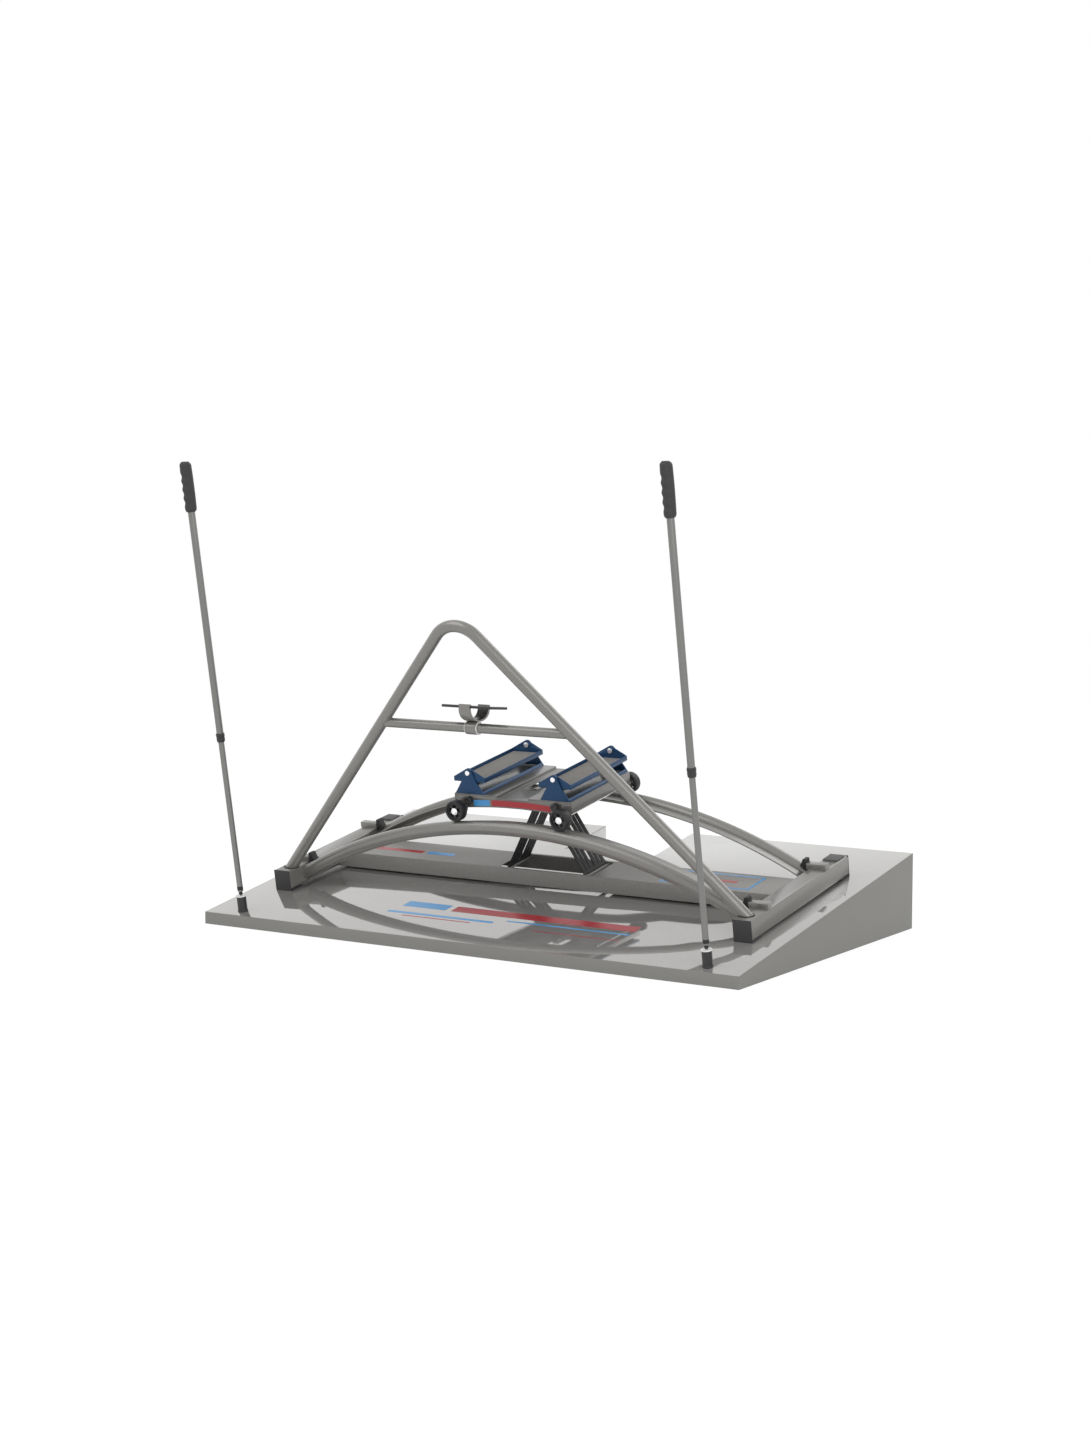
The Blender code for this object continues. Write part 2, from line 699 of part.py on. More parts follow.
def railing_path():
    """Centre line in the leaning frame: legs tangent to the bend at the top."""
    foot_x = MEMBER_CENTRE_X - RAILING_FOOT_INSET
    bend_z = RAILING_HEIGHT - RAILING_BEND
    reach = math.hypot(foot_x, bend_z)
    half = math.atan2(bend_z, foot_x) - math.acos(RAILING_BEND / reach)
    tangent = -math.degrees(half)
    bend = arc((0, bend_z), RAILING_BEND, tangent, 180 - tangent, 12)
    slope = (foot_x - bend[0][0]) / bend[0][1]
    below = RAILING_TUBE * 2
    return [(foot_x + slope * below, -below)] + bend + [(-foot_x - slope * below, -below)]


def leg_x(height):
    """Leg's centre line at a height of the leaning frame."""
    (x0, z0), (x1, z1) = railing_path()[:2]
    return x0 + (x1 - x0) * (height - z0) / (z1 - z0)


def build_handrail(slope_frame):
    base = (0, MEMBER_START + RAILING_FOOT_START, MEMBER_TOP + GAP)
    lean_frame = frame("handrail_frame", slope_frame, base, (RAILING_LEAN, 0, 0))
    path = [(x, 0, z) for x, z in railing_path()]
    rail = add("handrail", tube_mesh(path, RAILING_TUBE, RAILING_WALL), grey_paint(), lean_frame, smooth=True)
    floor = box_mesh((-1.4, -0.2, -0.4), (1.4, 0.2, 0))
    floor.transform(Matrix.Rotation(-RAILING_LEAN, 4, "X"))
    cut_later(rail, floor, "handrail_foot_cut")

    reach = leg_x(CROSSBAR_HEIGHT)
    bar = tube_mesh([(-reach, 0, CROSSBAR_HEIGHT), (reach, 0, CROSSBAR_HEIGHT)], CROSSBAR_TUBE, RAILING_WALL)
    cope = tube_mesh(path, RAILING_TUBE + GAP)
    add("crossbar", combined(bar, [cope], "DIFFERENCE"), grey_paint(), lean_frame, smooth=True)
    return lean_frame


def clamp_outline(hub):
    """Two curved arms that rise from the hub and end in grooves for the tablet's long edges."""
    width, depth, thickness = TABLET
    inner = depth / 2 + GAP
    outer, lip = inner + ARM_THICKNESS, inner - ARM_LIP
    low, high = TABLET_HEIGHT - GAP, TABLET_HEIGHT + thickness + GAP
    base, shelf = hub - 0.001, low - ARM_LIP
    rise, steps = shelf - base, 8
    turns = [math.radians(90 * i / steps) for i in range(steps + 1)]
    half = [(outer * math.sin(t), base + rise * (1 - math.cos(t))) for t in turns]
    half += [(outer, high + ARM_LIP), (lip, high + ARM_LIP), (lip, high), (inner, high), (inner, low), (lip, low)]
    half += [(lip, shelf)]
    swell, drop = lip - 0.001, rise - ARM_THICKNESS
    half += [(swell * math.sin(t), shelf - drop + drop * (1 - math.cos(t))) for t in reversed(turns[:-1])]
    return mirrored(half)


def build_tablet_holder(lean_frame):
    tilt_axis = (HOLDER_X, 0, CROSSBAR_HEIGHT)
    tilt = frame("tablet_tilt_axis", lean_frame, tilt_axis, (-TABLET_TILT - RAILING_LEAN, 0, 0))
    bore = CROSSBAR_TUBE + GAP
    shell, flange = bore + LINER_WALL, LINER_FLANGE_RADIUS
    inside = CLAMP_WIDTH / 2 + GAP
    half = inside + LINER_FLANGE
    liner = turned_mesh([(flange, half), (flange, inside), (shell, inside), (shell, -inside), (flange, -inside),
                         (flange, -half), (bore, -half), (bore, half)], 20, ring=True)
    liner.transform(Matrix.Rotation(math.radians(90), 4, "Y"))
    add("clamp_liner", liner, white_plastic(), tilt, smooth=True)

    hub = shell + GAP + CLAMP_WALL
    half = CLAMP_WIDTH / 2
    arms = along_mesh([clamp_outline(hub)], -half, half)
    ring = along_mesh([circle((0, 0), hub, 24)], -half, half)
    hole = along_mesh([circle((0, 0), shell + GAP, 20)], -2 * half, 2 * half)
    clamp = combined(combined(arms, [ring], "UNION"), [hole], "DIFFERENCE")
    add("tablet_clamp", clamp, grey_paint(), tilt)

    width, depth, thickness = TABLET
    outline = rounded_rectangle((0, 0), width, depth, TABLET_CORNER)
    slab = outline_mesh([outline], TABLET_HEIGHT, TABLET_HEIGHT + thickness)
    add("tablet", slab, black_plastic(), tilt)


# Carriage

def apron_outline():
    """Half plate with an arched lower edge and a rounded leg round the axle, then mirrored."""
    arch = DECK_Z - APRON_DROP
    inner, outer = WHEEL_HALF_BASE - LEG_RADIUS, WHEEL_HALF_BASE + LEG_RADIUS
    lip_x = RECESS_HALF_WIDTH + SHEET + GAP
    under, under_recess = DECK_Z - SHEET - GAP, RECESS_Z - SHEET - GAP
    steps = 6
    half = [(x, math.sqrt(arch ** 2 - x ** 2)) for x in (inner * i / steps for i in range(steps + 1))]
    half += arc((WHEEL_HALF_BASE, AXLE_Z), LEG_RADIUS, 180, 360, 8)
    half += [(outer, under), (lip_x, under), (lip_x, under_recess)]
    return mirrored(half)


def build_carriage_body(axis):
    half = CARRIAGE_HALF_WIDTH
    lip = RECESS_HALF_WIDTH
    outer = [(lip, RECESS_Z), (lip, DECK_Z), (half, DECK_Z), (half, DECK_Z - SKIRT)]
    inner = [(half - SHEET, DECK_Z - SKIRT), (half - SHEET, DECK_Z - SHEET), (lip + SHEET, DECK_Z - SHEET),
             (lip + SHEET, RECESS_Z - SHEET)]
    right = outer + inner
    section = [(x, z) for x, z in right] + [(-x, z) for x, z in reversed(right)]
    deck = add("carriage_deck", plate_mesh([section], -HALF_LENGTH, HALF_LENGTH), grey_paint(), axis)
    width, length = DECK_HOLE
    front = -HALF_LENGTH + DECK_HOLE_FROM_FRONT
    hole = box_mesh((-width / 2, front, RECESS_Z - 3 * SHEET), (width / 2, front + length, RECESS_Z + 3 * SHEET))
    cut_later(deck, hole, "deck_hole")

    tie_x, tie_z = WHEEL_HALF_BASE + TIE_OFFSET[0], AXLE_Z + TIE_OFFSET[1]
    holes = []
    for side, name in SIDE_NAMES:
        holes.append(circle((side * WHEEL_HALF_BASE, AXLE_Z), AXLE_RADIUS + GAP))
        holes.append(circle((side * tie_x, tie_z), TIE_RADIUS + GAP))
    for name, low in (("front", -HALF_LENGTH), ("back", HALF_LENGTH - APRON_THICKNESS)):
        plate = plate_mesh([apron_outline()] + holes, low, low + APRON_THICKNESS)
        add(f"carriage_apron_{name}", plate, grey_paint(), axis)

    head = HALF_LENGTH + GAP
    half = [(0, head + TIE_HEAD), (TIE_HEAD_RADIUS, head + TIE_HEAD), (TIE_HEAD_RADIUS, head),
            (TIE_RADIUS, head)]
    profile = half + [(r, -z) for r, z in reversed(half)]
    for side, name in SIDE_NAMES:
        rod = turned_mesh(profile, 16)
        rod.transform(Matrix.Rotation(math.radians(90), 4, "X"))
        add(f"tie_rod_{name}", rod, black_plastic(), axis, (side * tie_x, 0, tie_z), smooth=True)


def build_axles(axis):
    """Each axle carries a front and a back wheel, with a collar inside and outside each of them."""
    wheel_in, wheel_out = RAIL_GAUGE / 2 - RIM_WIDTH / 2 - GAP, RAIL_GAUGE / 2 + RIM_WIDTH / 2 + GAP
    shank, head = AXLE_RADIUS, BOLT_HEAD_RADIUS
    half = [(0, wheel_out + BOLT_HEAD), (head, wheel_out + BOLT_HEAD), (head, wheel_out), (shank, wheel_out),
            (shank, wheel_in), (head, wheel_in), (head, HALF_LENGTH + GAP), (shank, HALF_LENGTH + GAP)]
    profile = half + [(r, -z) for r, z in reversed(half)]
    for side, name in SIDE_NAMES:
        axle = turned_mesh(profile, 16)
        axle.transform(Matrix.Rotation(math.radians(90), 4, "X"))
        add(f"axle_{name}", axle, bright_steel(), axis, (side * WHEEL_HALF_BASE, 0, AXLE_Z), smooth=True)


def wheel_meshes():
    half, shoulder = WHEEL_WIDTH / 2, 0.005
    inner = WHEEL_RADIUS - TYRE_WALL
    tyre = turned_mesh([(WHEEL_RADIUS - shoulder, half), (WHEEL_RADIUS, half - shoulder),
                        (WHEEL_RADIUS, shoulder - half), (WHEEL_RADIUS - shoulder, -half),
                        (inner, -half), (inner, half)], 24, ring=True)
    rim = inner - GAP
    window_out, window_in = rim - RIM_RING, HUB_RADIUS
    pitch = 360 / SPOKES
    outlines = [circle((0, 0), rim, 24), circle((0, 0), AXLE_RADIUS + GAP, 12)]
    for i in range(SPOKES):
        middle = pitch * i + 90
        outlines.append(arc((0, 0), window_out, middle - pitch * 0.36, middle + pitch * 0.36, 4)
                        + arc((0, 0), window_in, middle + pitch * 0.2, middle - pitch * 0.2, 2))
    face = outline_mesh(outlines, -RIM_WIDTH / 2, RIM_WIDTH / 2)
    lay = Matrix.Rotation(math.radians(90), 4, "X")
    tyre.transform(lay)
    face.transform(lay)
    return tyre, face


def build_wheels(axis):
    tyre, rim = wheel_meshes()
    for way, end in ((-1, "front"), (1, "back")):
        for side, name in SIDE_NAMES:
            place = (side * WHEEL_HALF_BASE, way * RAIL_GAUGE / 2, AXLE_Z)
            hub = frame(f"wheel_axis_{end}_{name}", axis, place)
            add(f"tyre_{end}_{name}", tyre, black_rubber(), hub, smooth=True)
            add(f"rim_{end}_{name}", rim, black_plastic(), hub)


def build_hanger(axis):
    """Bracket under the deck's recess, and the rod that the bands' upper ends hook on."""
    centre = BEAM_CENTRE - RAIL_CENTRE
    inside = BAND_HALF_SPAN + HANGER_ROD_RADIUS
    outside = inside + HANGER_LEG
    top = RECESS_Z - SHEET - GAP
    bottom = HOOK_Z - HANGER_ROD_RADIUS - HANGER_LEG
    section = [(-outside, bottom), (-inside, bottom), (-inside, top - HANGER_LEG), (inside, top - HANGER_LEG),
               (inside, bottom), (outside, bottom), (outside, top), (-outside, top)]
    section = [(centre + v, z) for v, z in section]
    bracket = along_mesh([section], -HANGER_HALF_WIDTH, HANGER_HALF_WIDTH)
    reach = inside + HANGER_LEG / 2
    rod = rod_mesh((0, centre - reach, HOOK_Z), (0, centre + reach, HOOK_Z), HANGER_ROD_RADIUS)
    add("band_hanger", combined(bracket, [rod], "UNION"), grey_paint(), axis)


# Footrests

def ear(half_width, start_height, pivot_height):
    """Half outline from a corner up to a rounded top round the pivot."""
    rise, run = pivot_height - start_height, half_width
    reach = math.hypot(rise, run)
    touch = math.degrees(math.atan2(-rise, run) + math.acos(PIVOT_EAR / reach))
    return arc((0, pivot_height), PIVOT_EAR, touch, 90, 6)


def trough_mesh(outlines, reach, wall, half_gap, floor, rim):
    """An outline drawn end to end and hollowed between its end walls, down to a rim along each side."""
    whole = plate_mesh(outlines, -reach, reach)
    end = reach - wall
    waste = [box_mesh((-half_gap, -end, floor), (half_gap, end, 1)), box_mesh((-1, -end, rim), (1, end, 1))]
    return combined(whole, waste, "DIFFERENCE")


def build_footrests(axis):
    inner_face = HALF_LENGTH - BRACKET_THICKNESS
    bracket_half = [(BRACKET_FOOT, 0), (BRACKET_WAIST, BRACKET_WAIST_HEIGHT)]
    bracket_half += ear(BRACKET_WAIST, BRACKET_WAIST_HEIGHT, PIVOT_HEIGHT)
    bracket = [mirrored(bracket_half), circle((0, PIVOT_HEIGHT), AXLE_RADIUS + GAP, 12)]
    rim, floor = TRAY_SIDE - TRAY_DROP, TRAY_SHEET - TRAY_DROP
    end_half = [(TRAY_HALF_WIDTH, -TRAY_DROP), (TRAY_HALF_WIDTH, rim)] + ear(TRAY_HALF_WIDTH, rim, 0)
    tray_end = [mirrored(end_half), circle((0, 0), AXLE_RADIUS + GAP, 12)]
    tray_reach, inside = inner_face - TRAY_SIDE_GAP, TRAY_HALF_WIDTH - TRAY_SHEET
    mat_x, mat_v = inside - MAT_MARGIN, tray_reach - TRAY_END - MAT_MARGIN
    bolt_profile = bolt_profile_for(HALF_LENGTH, inner_face)
    for side, name in SIDE_NAMES:
        base = frame(f"footrest_base_frame_{name}", axis, (side * FOOTREST_X, 0, DECK_Z + GAP))
        body = trough_mesh(bracket, HALF_LENGTH, BRACKET_THICKNESS, BRACKET_FOOT - SILL_WIDTH, -1, SILL_HEIGHT)
        add(f"footrest_base_{name}", body, blue_paint(), base)
        pivot = frame(f"footrest_axis_{name}", base, (0, 0, PIVOT_HEIGHT))
        tray = trough_mesh(tray_end, tray_reach, TRAY_END, inside, floor, rim)
        add(f"footrest_tray_{name}", tray, blue_paint(), pivot)
        mat = box_mesh((-mat_x, -mat_v, floor + GAP), (mat_x, mat_v, floor + GAP + MAT_THICKNESS))
        add(f"footrest_mat_{name}", mat, grey_mat(), pivot)
        for way, end in ((-1, "front"), (1, "back")):
            bolt = turned_mesh(bolt_profile)
            bolt.transform(Matrix.Rotation(math.radians(-90 * way), 4, "X"))
            add(f"pivot_bolt_{end}_{name}", bolt, bright_steel(), base, (0, 0, PIVOT_HEIGHT), smooth=True)


def bolt_profile_for(outer_face, inner_face):
    """Head outside the bracket, shank through bracket and tray end, nut inside the tray."""
    head = PIVOT_HEAD_RADIUS
    out = outer_face + GAP
    nut = inner_face - TRAY_SIDE_GAP - TRAY_END - GAP
    return [(0, out + BOLT_HEAD), (head, out + BOLT_HEAD), (head, out), (AXLE_RADIUS, out),
            (AXLE_RADIUS, nut), (head, nut), (head, nut - BOLT_HEAD), (0, nut - BOLT_HEAD)]


# Ski poles

def grip_mesh():
    """A turned grip with finger grooves, its top cut at a slant."""
    waist = GRIP_RADIUS * 0.80
    grooves = 4
    points = [(0, GRIP_LENGTH), (GRIP_RADIUS * 0.7, GRIP_LENGTH), (GRIP_RADIUS, GRIP_LENGTH - 0.010),
              (GRIP_RADIUS * 1.02, GRIP_LENGTH - 0.024)]
    low, high = 0.022, GRIP_LENGTH - 0.034
    step = (high - low) / (2 * grooves)
    for i in range(2 * grooves + 1):
        radius = waist if i % 2 == 0 else GRIP_RADIUS * 0.92
        points.append((radius, high - step * i))
    points += [(GRIP_RADIUS * 0.95, 0.012), (GRIP_RADIUS * 0.8, 0.002), (GRIP_RADIUS * 0.6, 0)]
    bore = UPPER_SHAFT_RADIUS + GAP
    points += [(bore, 0), (bore, GRIP_OVER_SHAFT + GAP), (0, GRIP_OVER_SHAFT + GAP)]
    return turned_mesh(points, 16)


def build_poles(slope_frame):
    ring_top = SOCKET_HEIGHT + RING_THICKNESS
    joint_z = ring_top + GAP + BALL_RADIUS
    socket = turned_mesh([(0, ring_top), (RING_RADIUS - 0.001, ring_top), (RING_RADIUS, ring_top - 0.001),
                          (RING_RADIUS, SOCKET_HEIGHT), (SOCKET_RADIUS, SOCKET_HEIGHT), (SOCKET_RADIUS, GAP),
                          (0, GAP)], 20)
    ball = ball_mesh(BALL_RADIUS)
    shaft_low = BALL_RADIUS + GAP
    lower = turned_mesh([(LOWER_SHAFT_RADIUS, LOWER_SHAFT_LENGTH), (LOWER_SHAFT_RADIUS, 0), (0, 0),
                         (0, SHAFT_END_PLUG), (LOWER_SHAFT_RADIUS - SHAFT_WALL, SHAFT_END_PLUG),
                         (LOWER_SHAFT_RADIUS - SHAFT_WALL, LOWER_SHAFT_LENGTH)], 16, ring=True)
    upper_low = shaft_low + UPPER_SHAFT_START
    bore = LOWER_SHAFT_RADIUS + GAP
    upper = turned_mesh([(UPPER_SHAFT_RADIUS, UPPER_SHAFT_LENGTH), (UPPER_SHAFT_RADIUS, 0), (bore, 0),
                         (bore, UPPER_SHAFT_LENGTH)], 16, ring=True)
    wide = UPPER_SHAFT_RADIUS + GAP
    collar = turned_mesh([(COLLAR_RADIUS, COLLAR_HEIGHT), (COLLAR_RADIUS, COLLAR_HEIGHT * 0.35), (wide + 0.001, 0),
                          (wide, 0), (wide, COLLAR_HEIGHT)], 16, ring=True)
    grip = grip_mesh()
    for side, name in SIDE_NAMES:
        foot = (side * MEMBER_CENTRE_X, POLE_START, 0)
        add(f"pole_socket_{name}", socket, black_plastic(), slope_frame, foot, smooth=True)
        joint = frame(f"pole_joint_{name}", slope_frame, (side * MEMBER_CENTRE_X, POLE_START, joint_z))
        add(f"pole_ball_{name}", ball, black_rubber(), joint, smooth=True)
        add(f"pole_lower_shaft_{name}", lower, pole_grey(), joint, (0, 0, shaft_low), smooth=True)
        slider = frame(f"pole_slide_{name}", joint, (0, 0, upper_low))
        add(f"pole_upper_shaft_{name}", upper, pole_grey(), slider, smooth=True)
        add(f"pole_lock_collar_{name}", collar, black_plastic(), slider, smooth=True)
        grip_low = UPPER_SHAFT_LENGTH - GRIP_OVER_SHAFT
        add(f"pole_grip_{name}", grip, black_plastic(), slider, (0, 0, grip_low), smooth=True)


def main():
    clear_scene()
    slope_frame = frame("slope_frame", None, (0, -PLATFORM_DEPTH / 2, FRONT_HEIGHT), (SLOPE, 0, 0))
    build_platform(slope_frame)
    build_members(slope_frame)
    build_end_feet(slope_frame)
    build_rails(slope_frame)
    build_bumpers(slope_frame)
    build_beam(slope_frame)
    build_bands(slope_frame)
    lean_frame = build_handrail(slope_frame)
    build_tablet_holder(lean_frame)
    axis = frame("carriage_axis", slope_frame, (0, RAIL_CENTRE, AXIS_HEIGHT))
    build_carriage_body(axis)
    build_axles(axis)
    build_wheels(axis)
    build_hanger(axis)
    build_footrests(axis)
    build_poles(slope_frame)


main()
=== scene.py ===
"""Looks of the ski simulator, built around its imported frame, in metres, +Z up."""

import math

import bmesh
import bpy
from mathutils import Matrix, Vector


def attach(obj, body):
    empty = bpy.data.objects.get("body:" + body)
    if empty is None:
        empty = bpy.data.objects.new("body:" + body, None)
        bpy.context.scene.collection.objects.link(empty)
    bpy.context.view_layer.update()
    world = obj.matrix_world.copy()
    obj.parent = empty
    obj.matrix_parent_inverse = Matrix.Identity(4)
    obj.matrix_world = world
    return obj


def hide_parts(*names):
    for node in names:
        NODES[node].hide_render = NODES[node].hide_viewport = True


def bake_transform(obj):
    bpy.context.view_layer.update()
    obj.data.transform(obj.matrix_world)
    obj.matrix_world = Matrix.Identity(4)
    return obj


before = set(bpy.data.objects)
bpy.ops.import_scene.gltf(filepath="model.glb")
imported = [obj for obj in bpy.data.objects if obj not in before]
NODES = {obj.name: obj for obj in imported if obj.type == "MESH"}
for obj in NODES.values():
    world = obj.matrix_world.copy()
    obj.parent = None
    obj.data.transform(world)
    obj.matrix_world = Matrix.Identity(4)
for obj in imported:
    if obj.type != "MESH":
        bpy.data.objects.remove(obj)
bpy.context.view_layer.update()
SIDES = ((-1, "left"), (1, "right"))
ENDS = ((-1, "front"), (1, "back"))

# Sizes shared with the frame's source
GAP = 0.0003
SLOPE = math.radians(10.0)
TOP_LENGTH = 1.32
PLATFORM_WIDTH = 2.2
PLATFORM_DEPTH = TOP_LENGTH * math.cos(SLOPE)
FRONT_HEIGHT = 0.044
DECK_THICKNESS = 0.012
PANEL_THICKNESS = 0.015
RIB_THICKNESS = 0.018
NOTCH_HALF_WIDTH = 0.19
NOTCH_DEPTH = 0.300
MEMBER_CENTRE_X = 0.961
MEMBER_INNER_X = 0.926
MEMBER_START = 0.290
MEMBER_TOP = 0.0775
PAD_THICKNESS = 0.003
END_PAD_HALF = 0.029
END_PAD_DEPTHS = (0.942, 1.000)
RAIL_CENTRE = 0.630
RAIL_GAUGE = 0.470
RAIL_TUBE = 0.025
RAIL_RISE = 0.239
RAIL_END_HEIGHT = 0.0425
RAIL_RADIUS = (MEMBER_INNER_X ** 2 + RAIL_RISE ** 2) / (2 * RAIL_RISE)
AXIS_HEIGHT = RAIL_END_HEIGHT + RAIL_RISE - RAIL_RADIUS
FLANGE_WIDTH = 0.038
FLANGE_THICKNESS = 0.005
FLANGE_LIFT = 0.006
BEAM_CENTRE = 0.672
BEAM_TOP = 0.0655
RAILING_TUBE = 0.021
RAILING_LEAN = math.radians(8.14)
RAILING_HEIGHT = 0.988
RAILING_BEND = 0.111
RAILING_FOOT_X = 0.951
RAILING_FOOT_START = 0.047
RAILING_DEPTH = MEMBER_START + RAILING_FOOT_START
CROSSBAR_HEIGHT = 0.615
CROSSBAR_TUBE = 0.017
HOLDER_X = -0.004
TABLET = (0.206, 0.113, 0.009)
TABLET_HEIGHT = 0.0675
TABLET_TILT = math.radians(15.0)
WHEEL_RADIUS = 0.038
WHEEL_WIDTH = 0.033
TYRE_WALL = 0.010
RIM_WIDTH = 0.024
WHEEL_HALF_BASE = 0.2185
AXLE_RADIUS = 0.005
BOLT_HEAD_RADIUS = 0.0125
PIVOT_HEAD_RADIUS = 0.0095
BAND_WIDTH = 0.021
BAND_THICKNESS = 0.003
BAND_PITCH = 0.024
BAND_SET_OFFSET = 0.040
BAND_BAR = 0.014
BAND_BAR_THICKNESS = 0.005
ANCHOR_X = 0.168
ANCHOR_DROP = 0.011
HANGER_ROD_RADIUS = 0.006
CLAMP_WIDTH = 0.044
LINER_FLANGE_RADIUS = 0.0222
LINER_FLANGE = 0.0025
LINER_WALL = 0.0018
TIE_RADIUS = 0.006
TIE_HEAD_RADIUS = 0.014
TIE_HEAD = 0.016
TIE_OFFSET = (-0.0382, 0.0330)
AXLE_Z = math.sqrt((RAIL_RADIUS + RAIL_TUBE + GAP + WHEEL_RADIUS) ** 2 - WHEEL_HALF_BASE ** 2)
DECK_OVER_AXLE = 0.0533
DECK_Z = AXLE_Z + DECK_OVER_AXLE
SHEET = 0.004
RECESS_DEPTH = 0.008
HANGER_ROD_DROP = 0.030
HALF_LENGTH = 0.198
FOOTREST_X = 0.1788
PIVOT_HEIGHT = 0.0761
BRACKET_THICKNESS = 0.005
TRAY_DROP = 0.0333
TRAY_SHEET = 0.003
TRAY_SIDE_GAP = 0.001
TRAY_END = 0.004
MAT_MARGIN = 0.003
MAT_HALF_WIDTH = 0.0595
MAT_THICKNESS = 0.004
POLE_START = 0.0477
SOCKET_RADIUS = 0.017
SOCKET_HEIGHT = 0.0565
RING_RADIUS = 0.0195
RING_THICKNESS = 0.004
BALL_RADIUS = 0.0072
LOWER_SHAFT_RADIUS = 0.0105
LOWER_SHAFT_LENGTH = 0.800
UPPER_SHAFT_RADIUS = 0.0125
UPPER_SHAFT_START = 0.560
UPPER_SHAFT_LENGTH = 0.935
COLLAR_HEIGHT = 0.031
COLLAR_RADIUS = 0.0155
GRIP_LENGTH = 0.175
GRIP_RADIUS = 0.0215
GRIP_OVER_SHAFT = 0.105

# Sizes of the looks alone; the camera's angles are in degrees
FILM = 0.0002
FILM_RISE = 0.0001
FILM_CORNER = 0.003
BUMP_DISTANCE = 0.0004
NUT_RADIUS = 0.0105
MAT_RIBS = 43
MAT_RIB_PITCH = 0.0086
CAMERA_PLACE = (4.908, -7.691, 1.649)
CAMERA_DOWN = 5.643
CAMERA_TURN = 32.81
CAMERA_LENS = 63.94
SENSOR_WIDTH = 36.0
FLOOR_GLOW = 1.15
FLOOR_GLOW_SHARE = 0.75
WORLD_LIGHT = 0.55
WORLD_SEEN = 0.45


def turned(angle, axis="X"):
    return Matrix.Rotation(angle, 4, axis)


def shifted(x, y, z):
    return Matrix.Translation((x, y, z))


ON_SLOPE = shifted(0, -PLATFORM_DEPTH / 2, FRONT_HEIGHT) @ turned(SLOPE)
ON_CARRIAGE = ON_SLOPE @ shifted(0, RAIL_CENTRE, AXIS_HEIGHT)
ON_RAILING = ON_SLOPE @ shifted(0, RAILING_DEPTH, MEMBER_TOP + GAP) @ turned(RAILING_LEAN)
ON_TILT = ON_RAILING @ shifted(HOLDER_X, 0, CROSSBAR_HEIGHT) @ turned(-TABLET_TILT - RAILING_LEAN)
LYING = turned(math.radians(90))


# What shader and geometry trees share, then the shader groups

def add_inputs(tree, inputs):
    for label, kind, value in inputs:
        socket = tree.interface.new_socket(name=label, in_out="INPUT", socket_type=kind)
        if value is not None:
            socket.default_value = value


def set_inputs(tree, node, inputs):
    """Gives each input of a node its value, or a link from another node's socket."""
    for key, value in inputs.items():
        if isinstance(value, bpy.types.NodeSocket):
            tree.links.new(value, node.inputs[key])
        else:
            node.inputs[key].default_value = value


def add_node(tree, kind, inputs=None, **settings):
    """A new node with its settings and inputs."""
    node = tree.nodes.new(kind)
    for name, value in settings.items():
        setattr(node, name, value)
    set_inputs(tree, node, inputs or {})
    return node


def math_node(tree, operation, first, second):
    return add_node(tree, "ShaderNodeMath", {0: first, 1: second}, operation=operation).outputs[0]


def scaled(tree, vector, factor):
    """A colour or vector times a number."""
    return add_node(tree, "ShaderNodeVectorMath", {0: vector, "Scale": factor}, operation="SCALE").outputs[0]


def shader_group(name, inputs, outputs):
    group = bpy.data.node_groups.new(name, "ShaderNodeTree")
    add_inputs(group, inputs)
    for label, kind in outputs:
        group.interface.new_socket(name=label, in_out="OUTPUT", socket_type=kind)
    return group, group.nodes.new("NodeGroupInput").outputs, group.nodes.new("NodeGroupOutput")


def noise_value(tree, scale, detail, stretch=None):
    coords = add_node(tree, "ShaderNodeTexCoord").outputs["Object"]
    if stretch:
        coords = add_node(tree, "ShaderNodeMapping", {"Scale": stretch, "Vector": coords}).outputs["Vector"]
    noise = add_node(tree, "ShaderNodeTexNoise", {"Detail": detail, "Vector": coords, "Scale": scale})
    return noise.outputs["Fac"]


def make_grain_group():
    """Fine speckle of the paint or moulding: tints the colour and gives a height."""
    group, given, out = shader_group(
        "fine_grain",
        [("Colour", "NodeSocketColor", None), ("Scale", "NodeSocketFloat", 900.0),
         ("Contrast", "NodeSocketFloat", 0.2)],
        [("Colour", "NodeSocketColor"), ("Height", "NodeSocketFloat")])
    fine = noise_value(group, given["Scale"], 3.0)
    swing = math_node(group, "MULTIPLY", math_node(group, "SUBTRACT", fine, 0.5), given["Contrast"])
    factor = math_node(group, "ADD", swing, 1.0)
    set_inputs(group, out, {"Colour": scaled(group, given["Colour"], factor), "Height": fine})
    return group


def make_handling_group():
    """Broad uneven gloss from wiping and handling, with a few fine streaks."""
    group, given, out = shader_group(
        "handling_marks",
        [("Roughness", "NodeSocketFloat", 0.4), ("Spread", "NodeSocketFloat", 0.1),
         ("Size", "NodeSocketFloat", 9.0)],
        [("Roughness", "NodeSocketFloat")])
    broad = noise_value(group, given["Size"], 4.0)
    streaks = noise_value(group, 30.0, 2.0, (1.0, 6.0, 6.0))
    both = math_node(group, "ADD", math_node(group, "MULTIPLY", broad, 0.7),
                     math_node(group, "MULTIPLY", streaks, 0.3))
    swing = math_node(group, "MULTIPLY", math_node(group, "SUBTRACT", both, 0.5), given["Spread"])
    set_inputs(group, out, {"Roughness": math_node(group, "ADD", swing, given["Roughness"])})
    return group


